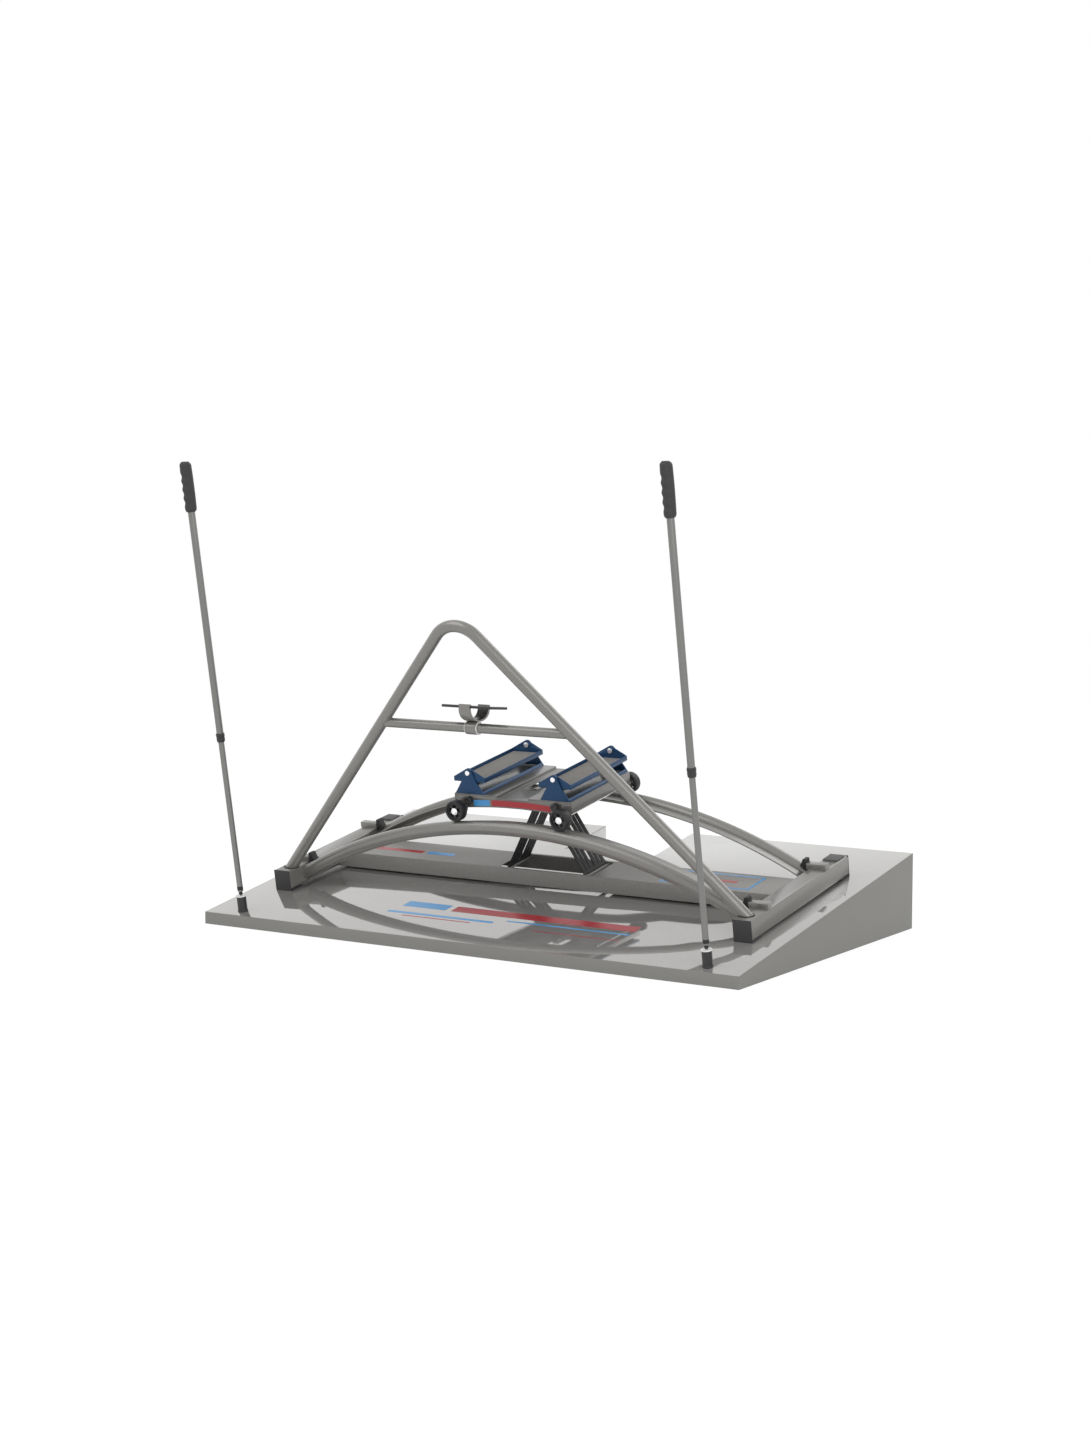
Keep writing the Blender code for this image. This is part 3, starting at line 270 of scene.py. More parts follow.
def make_dust_group():
    """A faint pale film, thicker on faces that look up."""
    group, given, out = shader_group(
        "settled_dust",
        [("Colour", "NodeSocketColor", None), ("Dust", "NodeSocketColor", (0.5, 0.49, 0.47, 1)),
         ("Amount", "NodeSocketFloat", 0.1)],
        [("Colour", "NodeSocketColor")])
    normal = add_node(group, "ShaderNodeNewGeometry").outputs["Normal"]
    split = add_node(group, "ShaderNodeSeparateXYZ", {0: normal})
    up = math_node(group, "MAXIMUM", split.outputs["Z"], 0.0)
    patchy = noise_value(group, 14.0, 5.0)
    share = math_node(group, "MULTIPLY", math_node(group, "MULTIPLY", up, patchy), given["Amount"])
    mix = add_node(group, "ShaderNodeMix", {"Factor": share, 6: given["Colour"], 7: given["Dust"]},
                   data_type="RGBA")
    set_inputs(group, out, {"Colour": mix.outputs[2]})
    return group


GRAIN = make_grain_group()
HANDLING = make_handling_group()
DUST = make_dust_group()


def placed_group(tree, group, **values):
    return add_node(tree, "ShaderNodeGroup", values, node_tree=group).outputs


def finish(name, colour, roughness, spread, metallic, grain, contrast, bump, dust, coat=0.0,
           coat_roughness=0.1):
    """A surface finish: grained colour, settled dust, uneven gloss and a fine bump."""
    made = bpy.data.materials.new(name)
    made.use_nodes = True
    made.diffuse_color = (*colour, 1.0)
    tree = made.node_tree
    speckle = placed_group(tree, GRAIN, Colour=(*colour, 1.0), Scale=grain, Contrast=contrast)
    film = placed_group(tree, DUST, Amount=dust, Colour=speckle["Colour"])
    gloss = placed_group(tree, HANDLING, Roughness=roughness, Spread=spread)
    relief = add_node(tree, "ShaderNodeBump", {"Strength": bump, "Distance": BUMP_DISTANCE,
                                               "Height": speckle["Height"]})
    set_inputs(tree, tree.nodes["Principled BSDF"], {
        "Base Color": film["Colour"], "Roughness": gloss["Roughness"], "Normal": relief.outputs["Normal"],
        "Metallic": metallic, "Coat Weight": coat, "Coat Roughness": coat_roughness})
    return made


# Name, colour, roughness, its spread, metallic, grain, its contrast, bump, dust, coat, coat's roughness
PAINT = finish("grey_tube_paint", (0.220, 0.215, 0.202), 0.29, 0.06, 0.3, 420, 0.4, 0.02, 0.04, 0.45, 0.16)
SHEET_PAINT = finish("grey_sheet_paint", (0.185, 0.181, 0.171), 0.30, 0.06, 0.3, 420, 0.4, 0.02, 0.03,
                     0.30, 0.18)
BEAM_PAINT = finish("beam_textured_paint", (0.300, 0.293, 0.280), 0.50, 0.08, 0.1, 330, 0.9, 0.12, 0.05)
DECK_GLOSS = finish("platform_gloss_sheet", (0.45, 0.44, 0.425), 0.05, 0.02, 0.5, 260, 0.35, 0.006, 0.02,
                    0.5, 0.03)
# Darker matte grey for the platform's sides: painted shade, a shaded copy of the deck's own grey.
SIDE_BOARD_PAINTED_SHADE = finish("platform_side_painted_shade", (0.24, 0.236, 0.222), 0.5, 0.08, 0.0, 500, 0.15, 0.03, 0.03)
RUBBER = finish("moulded_black_rubber", (0.014, 0.014, 0.015), 0.62, 0.15, 0.0, 1400, 0.5, 0.15, 0.015)
COVER = finish("end_cover_rubber", (0.040, 0.040, 0.042), 0.6, 0.1, 0.0, 900, 0.5, 0.15, 0.02)
PAD = finish("grey_end_pad", (0.105, 0.105, 0.107), 0.7, 0.1, 0.0, 700, 0.5, 0.15, 0.02)
TYRE = finish("wheel_tread_rubber", (0.010, 0.010, 0.011), 0.5, 0.2, 0.0, 1100, 0.4, 0.12, 0.02)
MOULDED = finish("moulded_black_plastic", (0.022, 0.022, 0.024), 0.42, 0.12, 0.0, 1800, 0.4, 0.12, 0.015)
GRIP = finish("grip_dark_foam", (0.036, 0.036, 0.037), 0.65, 0.12, 0.0, 900, 0.6, 0.2, 0.03)
BLUE = finish("blue_bracket_paint", (0.005, 0.046, 0.125), 0.42, 0.10, 0.4, 700, 0.35, 0.05, 0.02, 0.08, 0.2)
STEEL = finish("plated_steel", (0.93, 0.93, 0.94), 0.22, 0.1, 0.8, 1000, 0.1, 0.02, 0.0)
MAT = finish("ribbed_mat_rubber", (0.285, 0.272, 0.258), 0.7, 0.12, 0.0, 900, 0.5, 0.2, 0.05)
WHITE = finish("white_moulding", (0.85, 0.85, 0.84), 0.35, 0.1, 0.0, 900, 0.05, 0.02, 0.0)
POLE = finish("anodised_pole_tube", (0.22, 0.22, 0.212), 0.34, 0.1, 0.5, 1100, 0.3, 0.03, 0.03)
GLASS = finish("dark_screen_glass", (0.008, 0.008, 0.01), 0.08, 0.04, 0.0, 300, 0.1, 0.0, 0.02, 0.6, 0.04)
FILM_BLUE = finish("blue_stripe_film", (0.07, 0.34, 0.72), 0.25, 0.08, 0.0, 900, 0.1, 0.02, 0.01)
FILM_RED = finish("red_stripe_film", (0.42, 0.02, 0.03), 0.25, 0.08, 0.0, 900, 0.1, 0.02, 0.01)


# Mesh helpers

def mesh_from(bm, name):
    bmesh.ops.recalc_face_normals(bm, faces=bm.faces)
    mesh = bpy.data.meshes.new(name)
    bm.to_mesh(mesh)
    bm.free()
    return mesh


def loose(name, data):
    made = bpy.data.objects.new(name, data)
    bpy.context.scene.collection.objects.link(made)
    return made


def plain_mesh(obj, merge=0.00001):
    """The evaluated mesh of a loose object, welded, and the object removed."""
    bpy.context.view_layer.update()
    graph = bpy.context.evaluated_depsgraph_get()
    mesh = bpy.data.meshes.new_from_object(obj.evaluated_get(graph), depsgraph=graph)
    bm = bmesh.new()
    bm.from_mesh(mesh)
    bmesh.ops.remove_doubles(bm, verts=bm.verts, dist=merge)
    bmesh.ops.recalc_face_normals(bm, faces=bm.faces)
    bm.to_mesh(mesh)
    bm.free()
    bpy.data.objects.remove(obj, do_unlink=True)
    return mesh


def cut_by(base, others):
    """The base with each other mesh taken out of it."""
    obj = loose("base", base)
    cutters = [loose("cutter", mesh) for mesh in others]
    for cutter in cutters:
        step = obj.modifiers.new("step", "BOOLEAN")
        step.operation = "DIFFERENCE"
        step.solver = "EXACT"
        step.object = cutter
    mesh = plain_mesh(obj)
    for cutter in cutters:
        bpy.data.objects.remove(cutter, do_unlink=True)
    return mesh


def softened(mesh, width, segments=2, angle=30.0):
    """Rounds the mesh's sharp edges, after flat faces that were cut into triangles are joined up."""
    bm = bmesh.new()
    bm.from_mesh(mesh)
    bmesh.ops.remove_doubles(bm, verts=bm.verts, dist=0.00001)
    bmesh.ops.dissolve_limit(bm, angle_limit=math.radians(1.0), verts=bm.verts, edges=bm.edges)
    bm.to_mesh(mesh)
    bm.free()
    obj = loose("softened", mesh)
    step = obj.modifiers.new("edges", "BEVEL")
    step.width = width
    step.segments = segments
    step.limit_method = "ANGLE"
    step.angle_limit = math.radians(angle)
    return plain_mesh(obj, 0.000005)


def piece(name, mesh, material, body, replaces=(), place=None, sharp=35.0):
    """A finished visible piece: its place goes into its mesh, and it rides on a body."""
    if place is not None:
        mesh.transform(place)
    mesh.name = name
    if not mesh.materials:
        mesh.materials.append(material)
    mesh.shade_smooth()
    mesh.set_sharp_from_angle(angle=math.radians(sharp))
    obj = loose(name, mesh)
    if body:
        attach(obj, body)
    if replaces:
        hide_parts(*replaces)
    return obj


def cad_piece(name, node, material, body, width, segments=2, angle=30.0, sharp=35.0):
    """A piece that is the CAD node's own mesh with its edges rounded."""
    mesh = softened(copy_of(node), width, segments, angle)
    piece(name, mesh, material, body, (node,), sharp=sharp)


def full_turn(steps):
    return [2 * math.pi * i / steps for i in range(steps)]


def loft(rings, closed=False):
    """Faces between rings of points; a ring of one point is a pole."""
    bm = bmesh.new()
    rows = [[bm.verts.new(p) for p in ring] for ring in rings]
    pairs = list(zip(rows, rows[1:])) + ([(rows[-1], rows[0])] if closed else [])
    for low, high in pairs:
        count = max(len(low), len(high))
        for i in range(count):
            j = (i + 1) % count
            corners = [low[i % len(low)], low[j % len(low)], high[j % len(high)], high[i % len(high)]]
            corners = [v for k, v in enumerate(corners) if v not in corners[:k]]
            if len(corners) > 2:
                bm.faces.new(corners)
    if not closed:
        for row in (rows[0], rows[-1]):
            if len(row) > 2:
                bm.faces.new(row)
    return mesh_from(bm, "loft")


def lathe(profile, steps, soft=None, ring=False):
    """Turns (radius, height) points about +Z, with their corners rounded by soft."""
    rings = []
    for radius, height in rounded_profile(profile, soft) if soft else profile:
        if radius < 1e-7:
            rings.append([(0, 0, height)])
        else:
            rings.append([(radius * math.cos(a), radius * math.sin(a), height) for a in full_turn(steps)])
    return loft(rings, closed=ring)


def mirrored(half):
    """A (radius, height) profile followed by its mirror image below."""
    return half + [(r, -z) for r, z in reversed(half)]


def rounded_profile(points, radius):
    """Rounds the corners of an open (radius, height) profile."""
    steps = 3
    out = [points[0]]
    for before, corner, after in zip(points, points[1:], points[2:]):
        corner, a, b = Vector(corner), Vector(before), Vector(after)
        reach = min(radius, (a - corner).length / 2.01, (b - corner).length / 2.01)
        start, end = corner + (a - corner).normalized() * reach, corner + (b - corner).normalized() * reach
        for i in range(steps + 1):
            t = i / steps
            out.append(tuple(start.lerp(corner, t).lerp(corner.lerp(end, t), t)))
    return out + [points[-1]]


def arc(centre, radius, start, end, steps):
    angles = [math.radians(start + (end - start) * i / steps) for i in range(steps + 1)]
    return [(centre[0] + radius * math.cos(a), centre[1] + radius * math.sin(a)) for a in angles]


def circle(radius, steps):
    return arc((0, 0), radius, 0, 360 * (steps - 1) / steps, steps - 1)


def rounded_rectangle(centre, width, height, radius, steps=6):
    x, y = width / 2 - radius, height / 2 - radius
    points = []
    for cx, cy, start in ((x, y, 0), (-x, y, 90), (-x, -y, 180), (x, -y, 270)):
        points += arc((centre[0] + cx, centre[1] + cy), radius, start, start + 90, steps)
    return points


def outline_mesh(outlines, low, high, bevel=0.0):
    """Fills flat outlines, the first one outside and the rest holes, with softened rims."""
    curve = bpy.data.curves.new("outline", "CURVE")
    curve.dimensions = "2D"
    curve.fill_mode = "BOTH"
    curve.extrude = (high - low) / 2 - bevel
    curve.bevel_depth = bevel
    curve.bevel_resolution = 2
    curve.offset = -bevel
    for points in outlines:
        spline = curve.splines.new("POLY")
        spline.points.add(len(points) - 1)
        for point, (u, w) in zip(spline.points, points):
            point.co = (u, w, 0, 1)
        spline.use_cyclic_u = True
    mesh = plain_mesh(loose("outline", curve))
    mesh.transform(shifted(0, 0, (high + low) / 2))
    return mesh


def box_mesh(low, high):
    low, high = Vector(low), Vector(high)
    bm = bmesh.new()
    spread = Matrix.Diagonal((*(high - low), 1.0))
    bmesh.ops.create_cube(bm, size=1.0, matrix=shifted(*((low + high) / 2)) @ spread)
    return mesh_from(bm, "box")


def joined(meshes):
    bm = bmesh.new()
    for mesh in meshes:
        bm.from_mesh(mesh)
    mesh = bpy.data.meshes.new("joined")
    bm.to_mesh(mesh)
    bm.free()
    return mesh


def copy_of(node):
    mesh = NODES[node].data.copy()
    mesh.materials.clear()
    return mesh


# Geometry node trees

def geometry_tree(name, inputs):
    tree = bpy.data.node_groups.new(name, "GeometryNodeTree")
    tree.interface.new_socket(name="Geometry", in_out="INPUT", socket_type="NodeSocketGeometry")
    add_inputs(tree, [*inputs, ("Material", "NodeSocketMaterial", None)])
    tree.interface.new_socket(name="Geometry", in_out="OUTPUT", socket_type="NodeSocketGeometry")
    return tree, tree.nodes.new("NodeGroupInput").outputs


def tree_end(tree, given, geometry):
    """Every tree ends by realising its instances and setting the material."""
    real = add_node(tree, "GeometryNodeRealizeInstances", {0: geometry})
    paint = add_node(tree, "GeometryNodeSetMaterial",
                     {"Geometry": real.outputs[0], "Material": given["Material"]})
    add_node(tree, "NodeGroupOutput", {0: paint.outputs[0]})
    return tree


def make_swept_tube_tree():
    """A round tube along the given curve."""
    tree, given = geometry_tree(
        "swept_tube", [("Tube Radius", "NodeSocketFloat", 0.02), ("Sides", "NodeSocketInt", 40)])
    profile = add_node(tree, "GeometryNodeCurvePrimitiveCircle",
                       {"Radius": given["Tube Radius"], "Resolution": given["Sides"]})
    sweep = add_node(tree, "GeometryNodeCurveToMesh", {
        "Fill Caps": True, "Curve": given["Geometry"], "Profile Curve": profile.outputs["Curve"]})
    return tree_end(tree, given, sweep.outputs[0])


def make_row_tree():
    """Copies of the given mesh in an even row, centred on the middle one."""
    tree, given = geometry_tree(
        "even_row", [("Count", "NodeSocketInt", 3), ("Step", "NodeSocketVector", (0, 0.01, 0))])
    share = math_node(tree, "MULTIPLY", math_node(tree, "SUBTRACT", given["Count"], 1.0), -0.5)
    line = add_node(tree, "GeometryNodeMeshLine", {
        "Count": given["Count"], "Offset": given["Step"],
        "Start Location": scaled(tree, given["Step"], share)}, mode="OFFSET")
    copies = add_node(tree, "GeometryNodeInstanceOnPoints",
                      {"Points": line.outputs[0], "Instance": given["Geometry"]})
    return tree_end(tree, given, copies.outputs[0])


def make_weld_tree():
    """A weld seam: small uneven beads along the given curve."""
    tree, given = geometry_tree(
        "weld_seam", [("Bead Radius", "NodeSocketFloat", 0.0016), ("Bead Step", "NodeSocketFloat", 0.0022),
                      ("Unevenness", "NodeSocketFloat", 0.25), ("Seed", "NodeSocketInt", 3)])
    points = add_node(tree, "GeometryNodeCurveToPoints",
                      {"Curve": given["Geometry"], "Length": given["Bead Step"]}, mode="LENGTH")
    bead = add_node(tree, "GeometryNodeMeshUVSphere",
                    {"Segments": 8, "Rings": 5, "Radius": given["Bead Radius"]})
    least = math_node(tree, "SUBTRACT", 1.0, given["Unevenness"])
    scale = add_node(tree, "FunctionNodeRandomValue", {2: least, "Seed": given["Seed"]}, data_type="FLOAT")
    copies = add_node(tree, "GeometryNodeInstanceOnPoints", {
        "Points": points.outputs["Points"], "Instance": bead.outputs["Mesh"], "Scale": scale.outputs[1]})
    return tree_end(tree, given, copies.outputs[0])


SWEPT_TUBE = make_swept_tube_tree()
EVEN_ROW = make_row_tree()
WELD_SEAM = make_weld_tree()


def grown(tree, data, material, **values):
    """The plain mesh that a tree makes from the given curve or mesh."""
    obj = loose("grown", data)
    step = obj.modifiers.new("tree", "NODES")
    step.node_group = tree
    wanted = {name.replace("_", " "): value for name, value in values.items()}
    for item in tree.interface.items_tree:
        if item.item_type != "SOCKET" or item.in_out != "INPUT":
            continue
        if item.name == "Material":
            step[item.identifier] = material
        elif item.name in wanted:
            step[item.identifier] = wanted[item.name]
    obj.update_tag()
    return plain_mesh(obj, 0.000001)


def path_curve(points, closed=False):
    curve = bpy.data.curves.new("path", "CURVE")
    curve.dimensions = "3D"
    spline = curve.splines.new("POLY")
    spline.points.add(len(points) - 1)
    for point, co in zip(spline.points, points):
        point.co = (*co, 1)
    spline.use_cyclic_u = closed
    return curve


def tube(points, radius, sides):
    return grown(SWEPT_TUBE, path_curve(points), PAINT, Tube_Radius=radius, Sides=sides)


def weld_piece(name, points, seed, place, closed=True):
    """A seam of small uneven beads along the points."""
    seam = grown(WELD_SEAM, path_curve(points, closed), PAINT, Seed=seed)
    piece(name, seam, PAINT, "base", place=place, sharp=60)


# Platform

def deck_top(y):
    return FRONT_HEIGHT + (y + PLATFORM_DEPTH / 2) * math.tan(SLOPE)


def deck_underside(y):
    return deck_top(y) - DECK_THICKNESS / math.cos(SLOPE) - GAP


def sloped(mesh, height):
    """Moves the mesh's upper points to the height that the function gives at their depth."""
    for vert in mesh.vertices:
        if vert.co.z > 0.25:
            vert.co.z = height(vert.co.y)
    return mesh


def make_platform():
    half, edge, front, back = PLATFORM_WIDTH / 2, NOTCH_HALF_WIDTH, -PLATFORM_DEPTH / 2, PLATFORM_DEPTH / 2
    notch = front + (TOP_LENGTH - NOTCH_DEPTH) * math.cos(SLOPE)
    outline = [(-half, front), (half, front), (half, back), (edge, back), (edge, notch), (-edge, notch),
               (-edge, back), (-half, back)]
    block = sloped(outline_mesh([outline], 0, 1), deck_top)
    rib, near, far = RIB_THICKNESS / 2, MEMBER_CENTRE_X / 3, MEMBER_CENTRE_X
    fore, aft = front + PANEL_THICKNESS, back - PANEL_THICKNESS
    bays = [(-near + rib, near - rib, fore, -rib), (-near + rib, near - rib, rib, notch - PANEL_THICKNESS)]
    for side, _ in SIDES:
        for low, high in ((near + rib, far - rib), (far + rib, half - PANEL_THICKNESS)):
            x = sorted((side * low, side * high))
            bays += [(*x, fore, -rib), (*x, rib, aft)]
        x = sorted((side * (edge + PANEL_THICKNESS), side * (near - rib)))
        bays.append((*x, notch, aft))
    hollows = [sloped(box_mesh((x0, y0, -0.5), (x1, y1, 0.5)), deck_underside) for x0, x1, y0, y1 in bays]
    shell = softened(cut_by(block, [joined(hollows)]), 0.0018, 3)
    shell.materials.append(SIDE_BOARD_PAINTED_SHADE)
    shell.materials.append(DECK_GLOSS)
    # Faces that look up get the glossy sheet; every other face keeps the darker board, which is painted
    # shade on the sides.
    up = Vector((0, -math.sin(SLOPE), math.cos(SLOPE)))
    for face in shell.polygons:
        if face.normal.dot(up) > 0.99:
            face.material_index = 1
    piece("platform_shell", shell, SIDE_BOARD_PAINTED_SHADE, "base", ("platform_deck", "platform_frame"))


def flat_film(name, low, high, height, material, cut=None):
    """A thin plain stripe stuck on a flat face, or only its outline, cut wide."""
    centre = ((low[0] + high[0]) / 2, (low[1] + high[1]) / 2)
    width, length = high[0] - low[0], high[1] - low[1]
    outlines = [rounded_rectangle(centre, width, length, min(FILM_CORNER, length / 2.1, width / 2.1))]
    if cut:
        outlines.append(rounded_rectangle(centre, width - 2 * cut, length - 2 * cut, FILM_CORNER / 2))
    mesh = outline_mesh(outlines, height, height + FILM)
    piece(name, mesh, material, "base", place=ON_SLOPE)


def make_notch_painted_reflections():
    """Thin white sheets on the notch's side walls: a painted reflection, white where those walls mirror the
    bright surroundings.
    """
    inset, below, thickness = 0.001, 0.002, 0.0006
    back = PLATFORM_DEPTH / 2 - inset
    start = PLATFORM_DEPTH / 2 - NOTCH_DEPTH * math.cos(SLOPE) + inset
    face = NOTCH_HALF_WIDTH - FILM_RISE
    for side, name in SIDES:
        rings = []
        for x in (side * face, side * (face - thickness)):
            tops = [(x, y, deck_top(y) - below) for y in (back, start)]
            rings.append([(x, start, inset), (x, back, inset)] + tops)
        # Painted reflection: white sheets stand in for the bright surroundings that the notch walls reflect.
        piece(f"notch_reflection_sheet_{name}", loft(rings), WHITE, "base")


def make_platform_stripes():
    """Plain straight stripes where the photographed platform carries its maker's words and marks."""
    for name, low, high, material in (
            ("deck_stripe_blue", (-0.41, 0.273), (-0.225, 0.325), FILM_BLUE),
            ("deck_stripe_red", (-0.20, 0.271), (0.555, 0.323), FILM_RED),
            ("deck_line_blue", (-0.43, 0.203), (0.02, 0.220), FILM_BLUE),
            ("deck_line_red", (-0.35, 0.182), (-0.06, 0.189), FILM_RED),
            ("deck_line_blue_right", (0.06, 0.234), (0.555, 0.244), FILM_BLUE),
            ("deck_line_red_right", (0.20, 0.176), (0.55, 0.181), FILM_RED)):
        flat_film(name, low, high, FILM_RISE, material)


# Cross members, end feet, rails and bumpers

def without_pad(mesh, side):
    """A back end cover's copy, cut level with its tube's top: the pad there is a piece of its own."""
    x = side * MEMBER_CENTRE_X
    waste = box_mesh((x - 0.1, 0.9, MEMBER_TOP + 0.0001), (x + 0.1, 1.1, 0.2))
    waste.transform(ON_SLOPE)
    return cut_by(mesh, [waste])


def make_members():
    for side, name in SIDES:
        cad_piece(f"member_tube_{name}", f"cross_member_{name}", PAINT, "base", 0.0006)
        for _, end in ENDS:
            node = f"end_foot_{end}_{name}"
            mesh = copy_of(node)
            if end == "back":
                mesh = without_pad(mesh, side)
                middle, base = side * MEMBER_CENTRE_X, MEMBER_TOP + GAP
                pad = box_mesh((middle - END_PAD_HALF, END_PAD_DEPTHS[0], base),
                               (middle + END_PAD_HALF, END_PAD_DEPTHS[1], base + PAD_THICKNESS))
                piece(f"end_pad_{name}", softened(pad, 0.0006), PAD, "base", place=ON_SLOPE)
            cover = softened(mesh, 0.0012, 3)
            piece(f"end_cover_{end}_{name}", cover, COVER, "base", (node,))


def rail_point(angle, v, radius=RAIL_RADIUS):
    return (radius * math.sin(angle), v, AXIS_HEIGHT + radius * math.cos(angle))


def make_rails():
    """Each rail is made a little too long, and blocks cut its ends off level."""
    reach = MEMBER_INNER_X - GAP
    over = math.asin(reach / RAIL_RADIUS)
    steps, overrun, root = 96, 1.02, 0.003
    beyond = over * overrun
    angles = [beyond * (2 * i / steps - 1) for i in range(steps + 1)]
    past_end, around, floor, above = 1.5, 0.1, -0.2, 0.3
    low = RAIL_RADIUS + FLANGE_LIFT - FLANGE_THICKNESS / 2
    high = RAIL_RADIUS + FLANGE_LIFT + FLANGE_THICKNESS / 2
    soft, weld = FLANGE_THICKNESS * 0.3, RAIL_TUBE + 0.0006
    for way, end in ENDS:
        v, inward = RAIL_CENTRE + way * RAIL_GAUGE / 2, -way
        pipe = tube([rail_point(a, v) for a in angles], RAIL_TUBE, 48)
        near, far = v + inward * (RAIL_TUBE - root), v + inward * (RAIL_TUBE + FLANGE_WIDTH)
        section = ((near, low), (far - inward * soft, low), (far, low + soft), (far, high - soft),
                   (far - inward * soft, high), (near, high))
        flange = loft([[rail_point(a, depth, radius) for depth, radius in section] for a in angles])
        waste = [box_mesh((reach, v - around, floor), (past_end, v + around, above)),
                 box_mesh((-past_end, v - around, floor), (-reach, v + around, above))]
        whole = cut_by(joined([cut_by(pipe, waste), cut_by(flange, waste)]), [])
        piece(f"arched_rail_{end}", whole, PAINT, "base", (f"rail_{end}",), ON_SLOPE)
        seam = [rail_point(a, v + inward * (RAIL_TUBE - 0.0005), high + 0.0004) for a in angles[2:-2:2]]
        weld_piece(f"flange_weld_{end}", seam, 5, ON_SLOPE, False)
        for side, name in SIDES:
            loop = [(side * (reach - 0.0012), v + weld * math.cos(a),
                     RAIL_END_HEIGHT + weld / math.cos(over) * math.sin(a)) for a in full_turn(48)]
            weld_piece(f"rail_weld_{end}_{name}", loop, 7, ON_SLOPE)
            cad_piece(f"rubber_bumper_{end}_{name}", f"stop_bumper_{end}_{name}", RUBBER, "base",
                      0.0022, 3, sharp=50)


# Beam and elastic bands

def make_beam():
    cad_piece("bridging_beam", "base_beam", BEAM_PAINT, "base", 0.0012)
    for stripe, low, high, material, cut in (
            ("frame", (0.463, 0.603), (0.8175, 0.741), FILM_BLUE, 0.009),
            ("short", (0.60, 0.662), (0.74, 0.680), FILM_RED, None),
            ("blue_left", (-0.56, 0.647), (-0.44, 0.673), FILM_BLUE, None),
            ("red_left", (-0.80, 0.647), (-0.58, 0.673), FILM_RED, None)):
        flat_film(f"beam_stripe_{stripe}", low, high, BEAM_TOP + FILM_RISE, material, cut)


def band_strip(low, high, width, thickness):
    """One flat band with rounded edges, from low to high."""
    way = (high - low).normalized()
    across = Vector((way.z, 0, -way.x))
    section = rounded_rectangle((0, 0), width, thickness, thickness * 0.45, 3)
    steps = 24
    rings = []
    for i in range(steps + 1):
        centre = low.lerp(high, i / steps)
        rings.append([centre + Vector((0, u, 0)) + across * w for u, w in section])
    return loft(rings)


def make_bands():
    """Two sets of three bands a side with a moulded bar at each end, and the bracket they hook on."""
    hook = Vector((0, 0, AXIS_HEIGHT + DECK_Z - RECESS_DEPTH - SHEET - HANGER_ROD_DROP))
    place = ON_SLOPE @ shifted(0, BEAM_CENTRE, 0)
    bar_half, bar_edge, sunk = 0.075, 0.0005, 0.004
    for side, name in SIDES:
        low = Vector((side * ANCHOR_X, 0, BEAM_TOP - ANCHOR_DROP))
        way = (hook - low).normalized()
        off_rod = way * (HANGER_ROD_RADIUS + GAP)
        start, end = low + off_rod, hook - off_rod
        strip = band_strip(start + way * sunk, end - way * sunk, BAND_WIDTH, BAND_THICKNESS)
        sets = []
        for middle in (-BAND_SET_OFFSET, BAND_SET_OFFSET):
            row = grown(EVEN_ROW, strip.copy(), RUBBER, Count=3, Step=(0, BAND_PITCH, 0))
            row.transform(shifted(0, middle, 0))
            sets.append(row)
        across = Vector((way.z, 0, -way.x))
        section = rounded_rectangle((BAND_BAR / 2, 0), BAND_BAR, BAND_BAR_THICKNESS, 0.002, 3)
        for foot in (start, end - way * BAND_BAR):
            sets.append(loft([[foot + way * u + across * w + Vector((0, y, 0)) for u, w in section]
                              for y in (-bar_half, bar_edge - bar_half, bar_half - bar_edge, bar_half)]))
        whole = joined(sets)
        whole.transform(place)
        bands = piece(f"band_set_{name}", whole, RUBBER, None, (f"elastic_bands_{name}",),
                      sharp=50)
        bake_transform(bands)
    cad_piece("hanger_bracket", "band_hanger", PAINT, "carriage", 0.0008, angle=50)


# Handrail and tablet holder

def railing_path():
    """The slope of the legs and the points of the bend at the top."""
    bend_z = RAILING_HEIGHT - RAILING_BEND
    reach = math.hypot(RAILING_FOOT_X, bend_z)
    half = math.atan2(bend_z, RAILING_FOOT_X) - math.acos(RAILING_BEND / reach)
    tangent = -math.degrees(half)
    steps = 40
    bend = arc((0, bend_z), RAILING_BEND, tangent, 180 - tangent, steps)
    slope = (RAILING_FOOT_X - bend[0][0]) / bend[0][1]
    return slope, bend


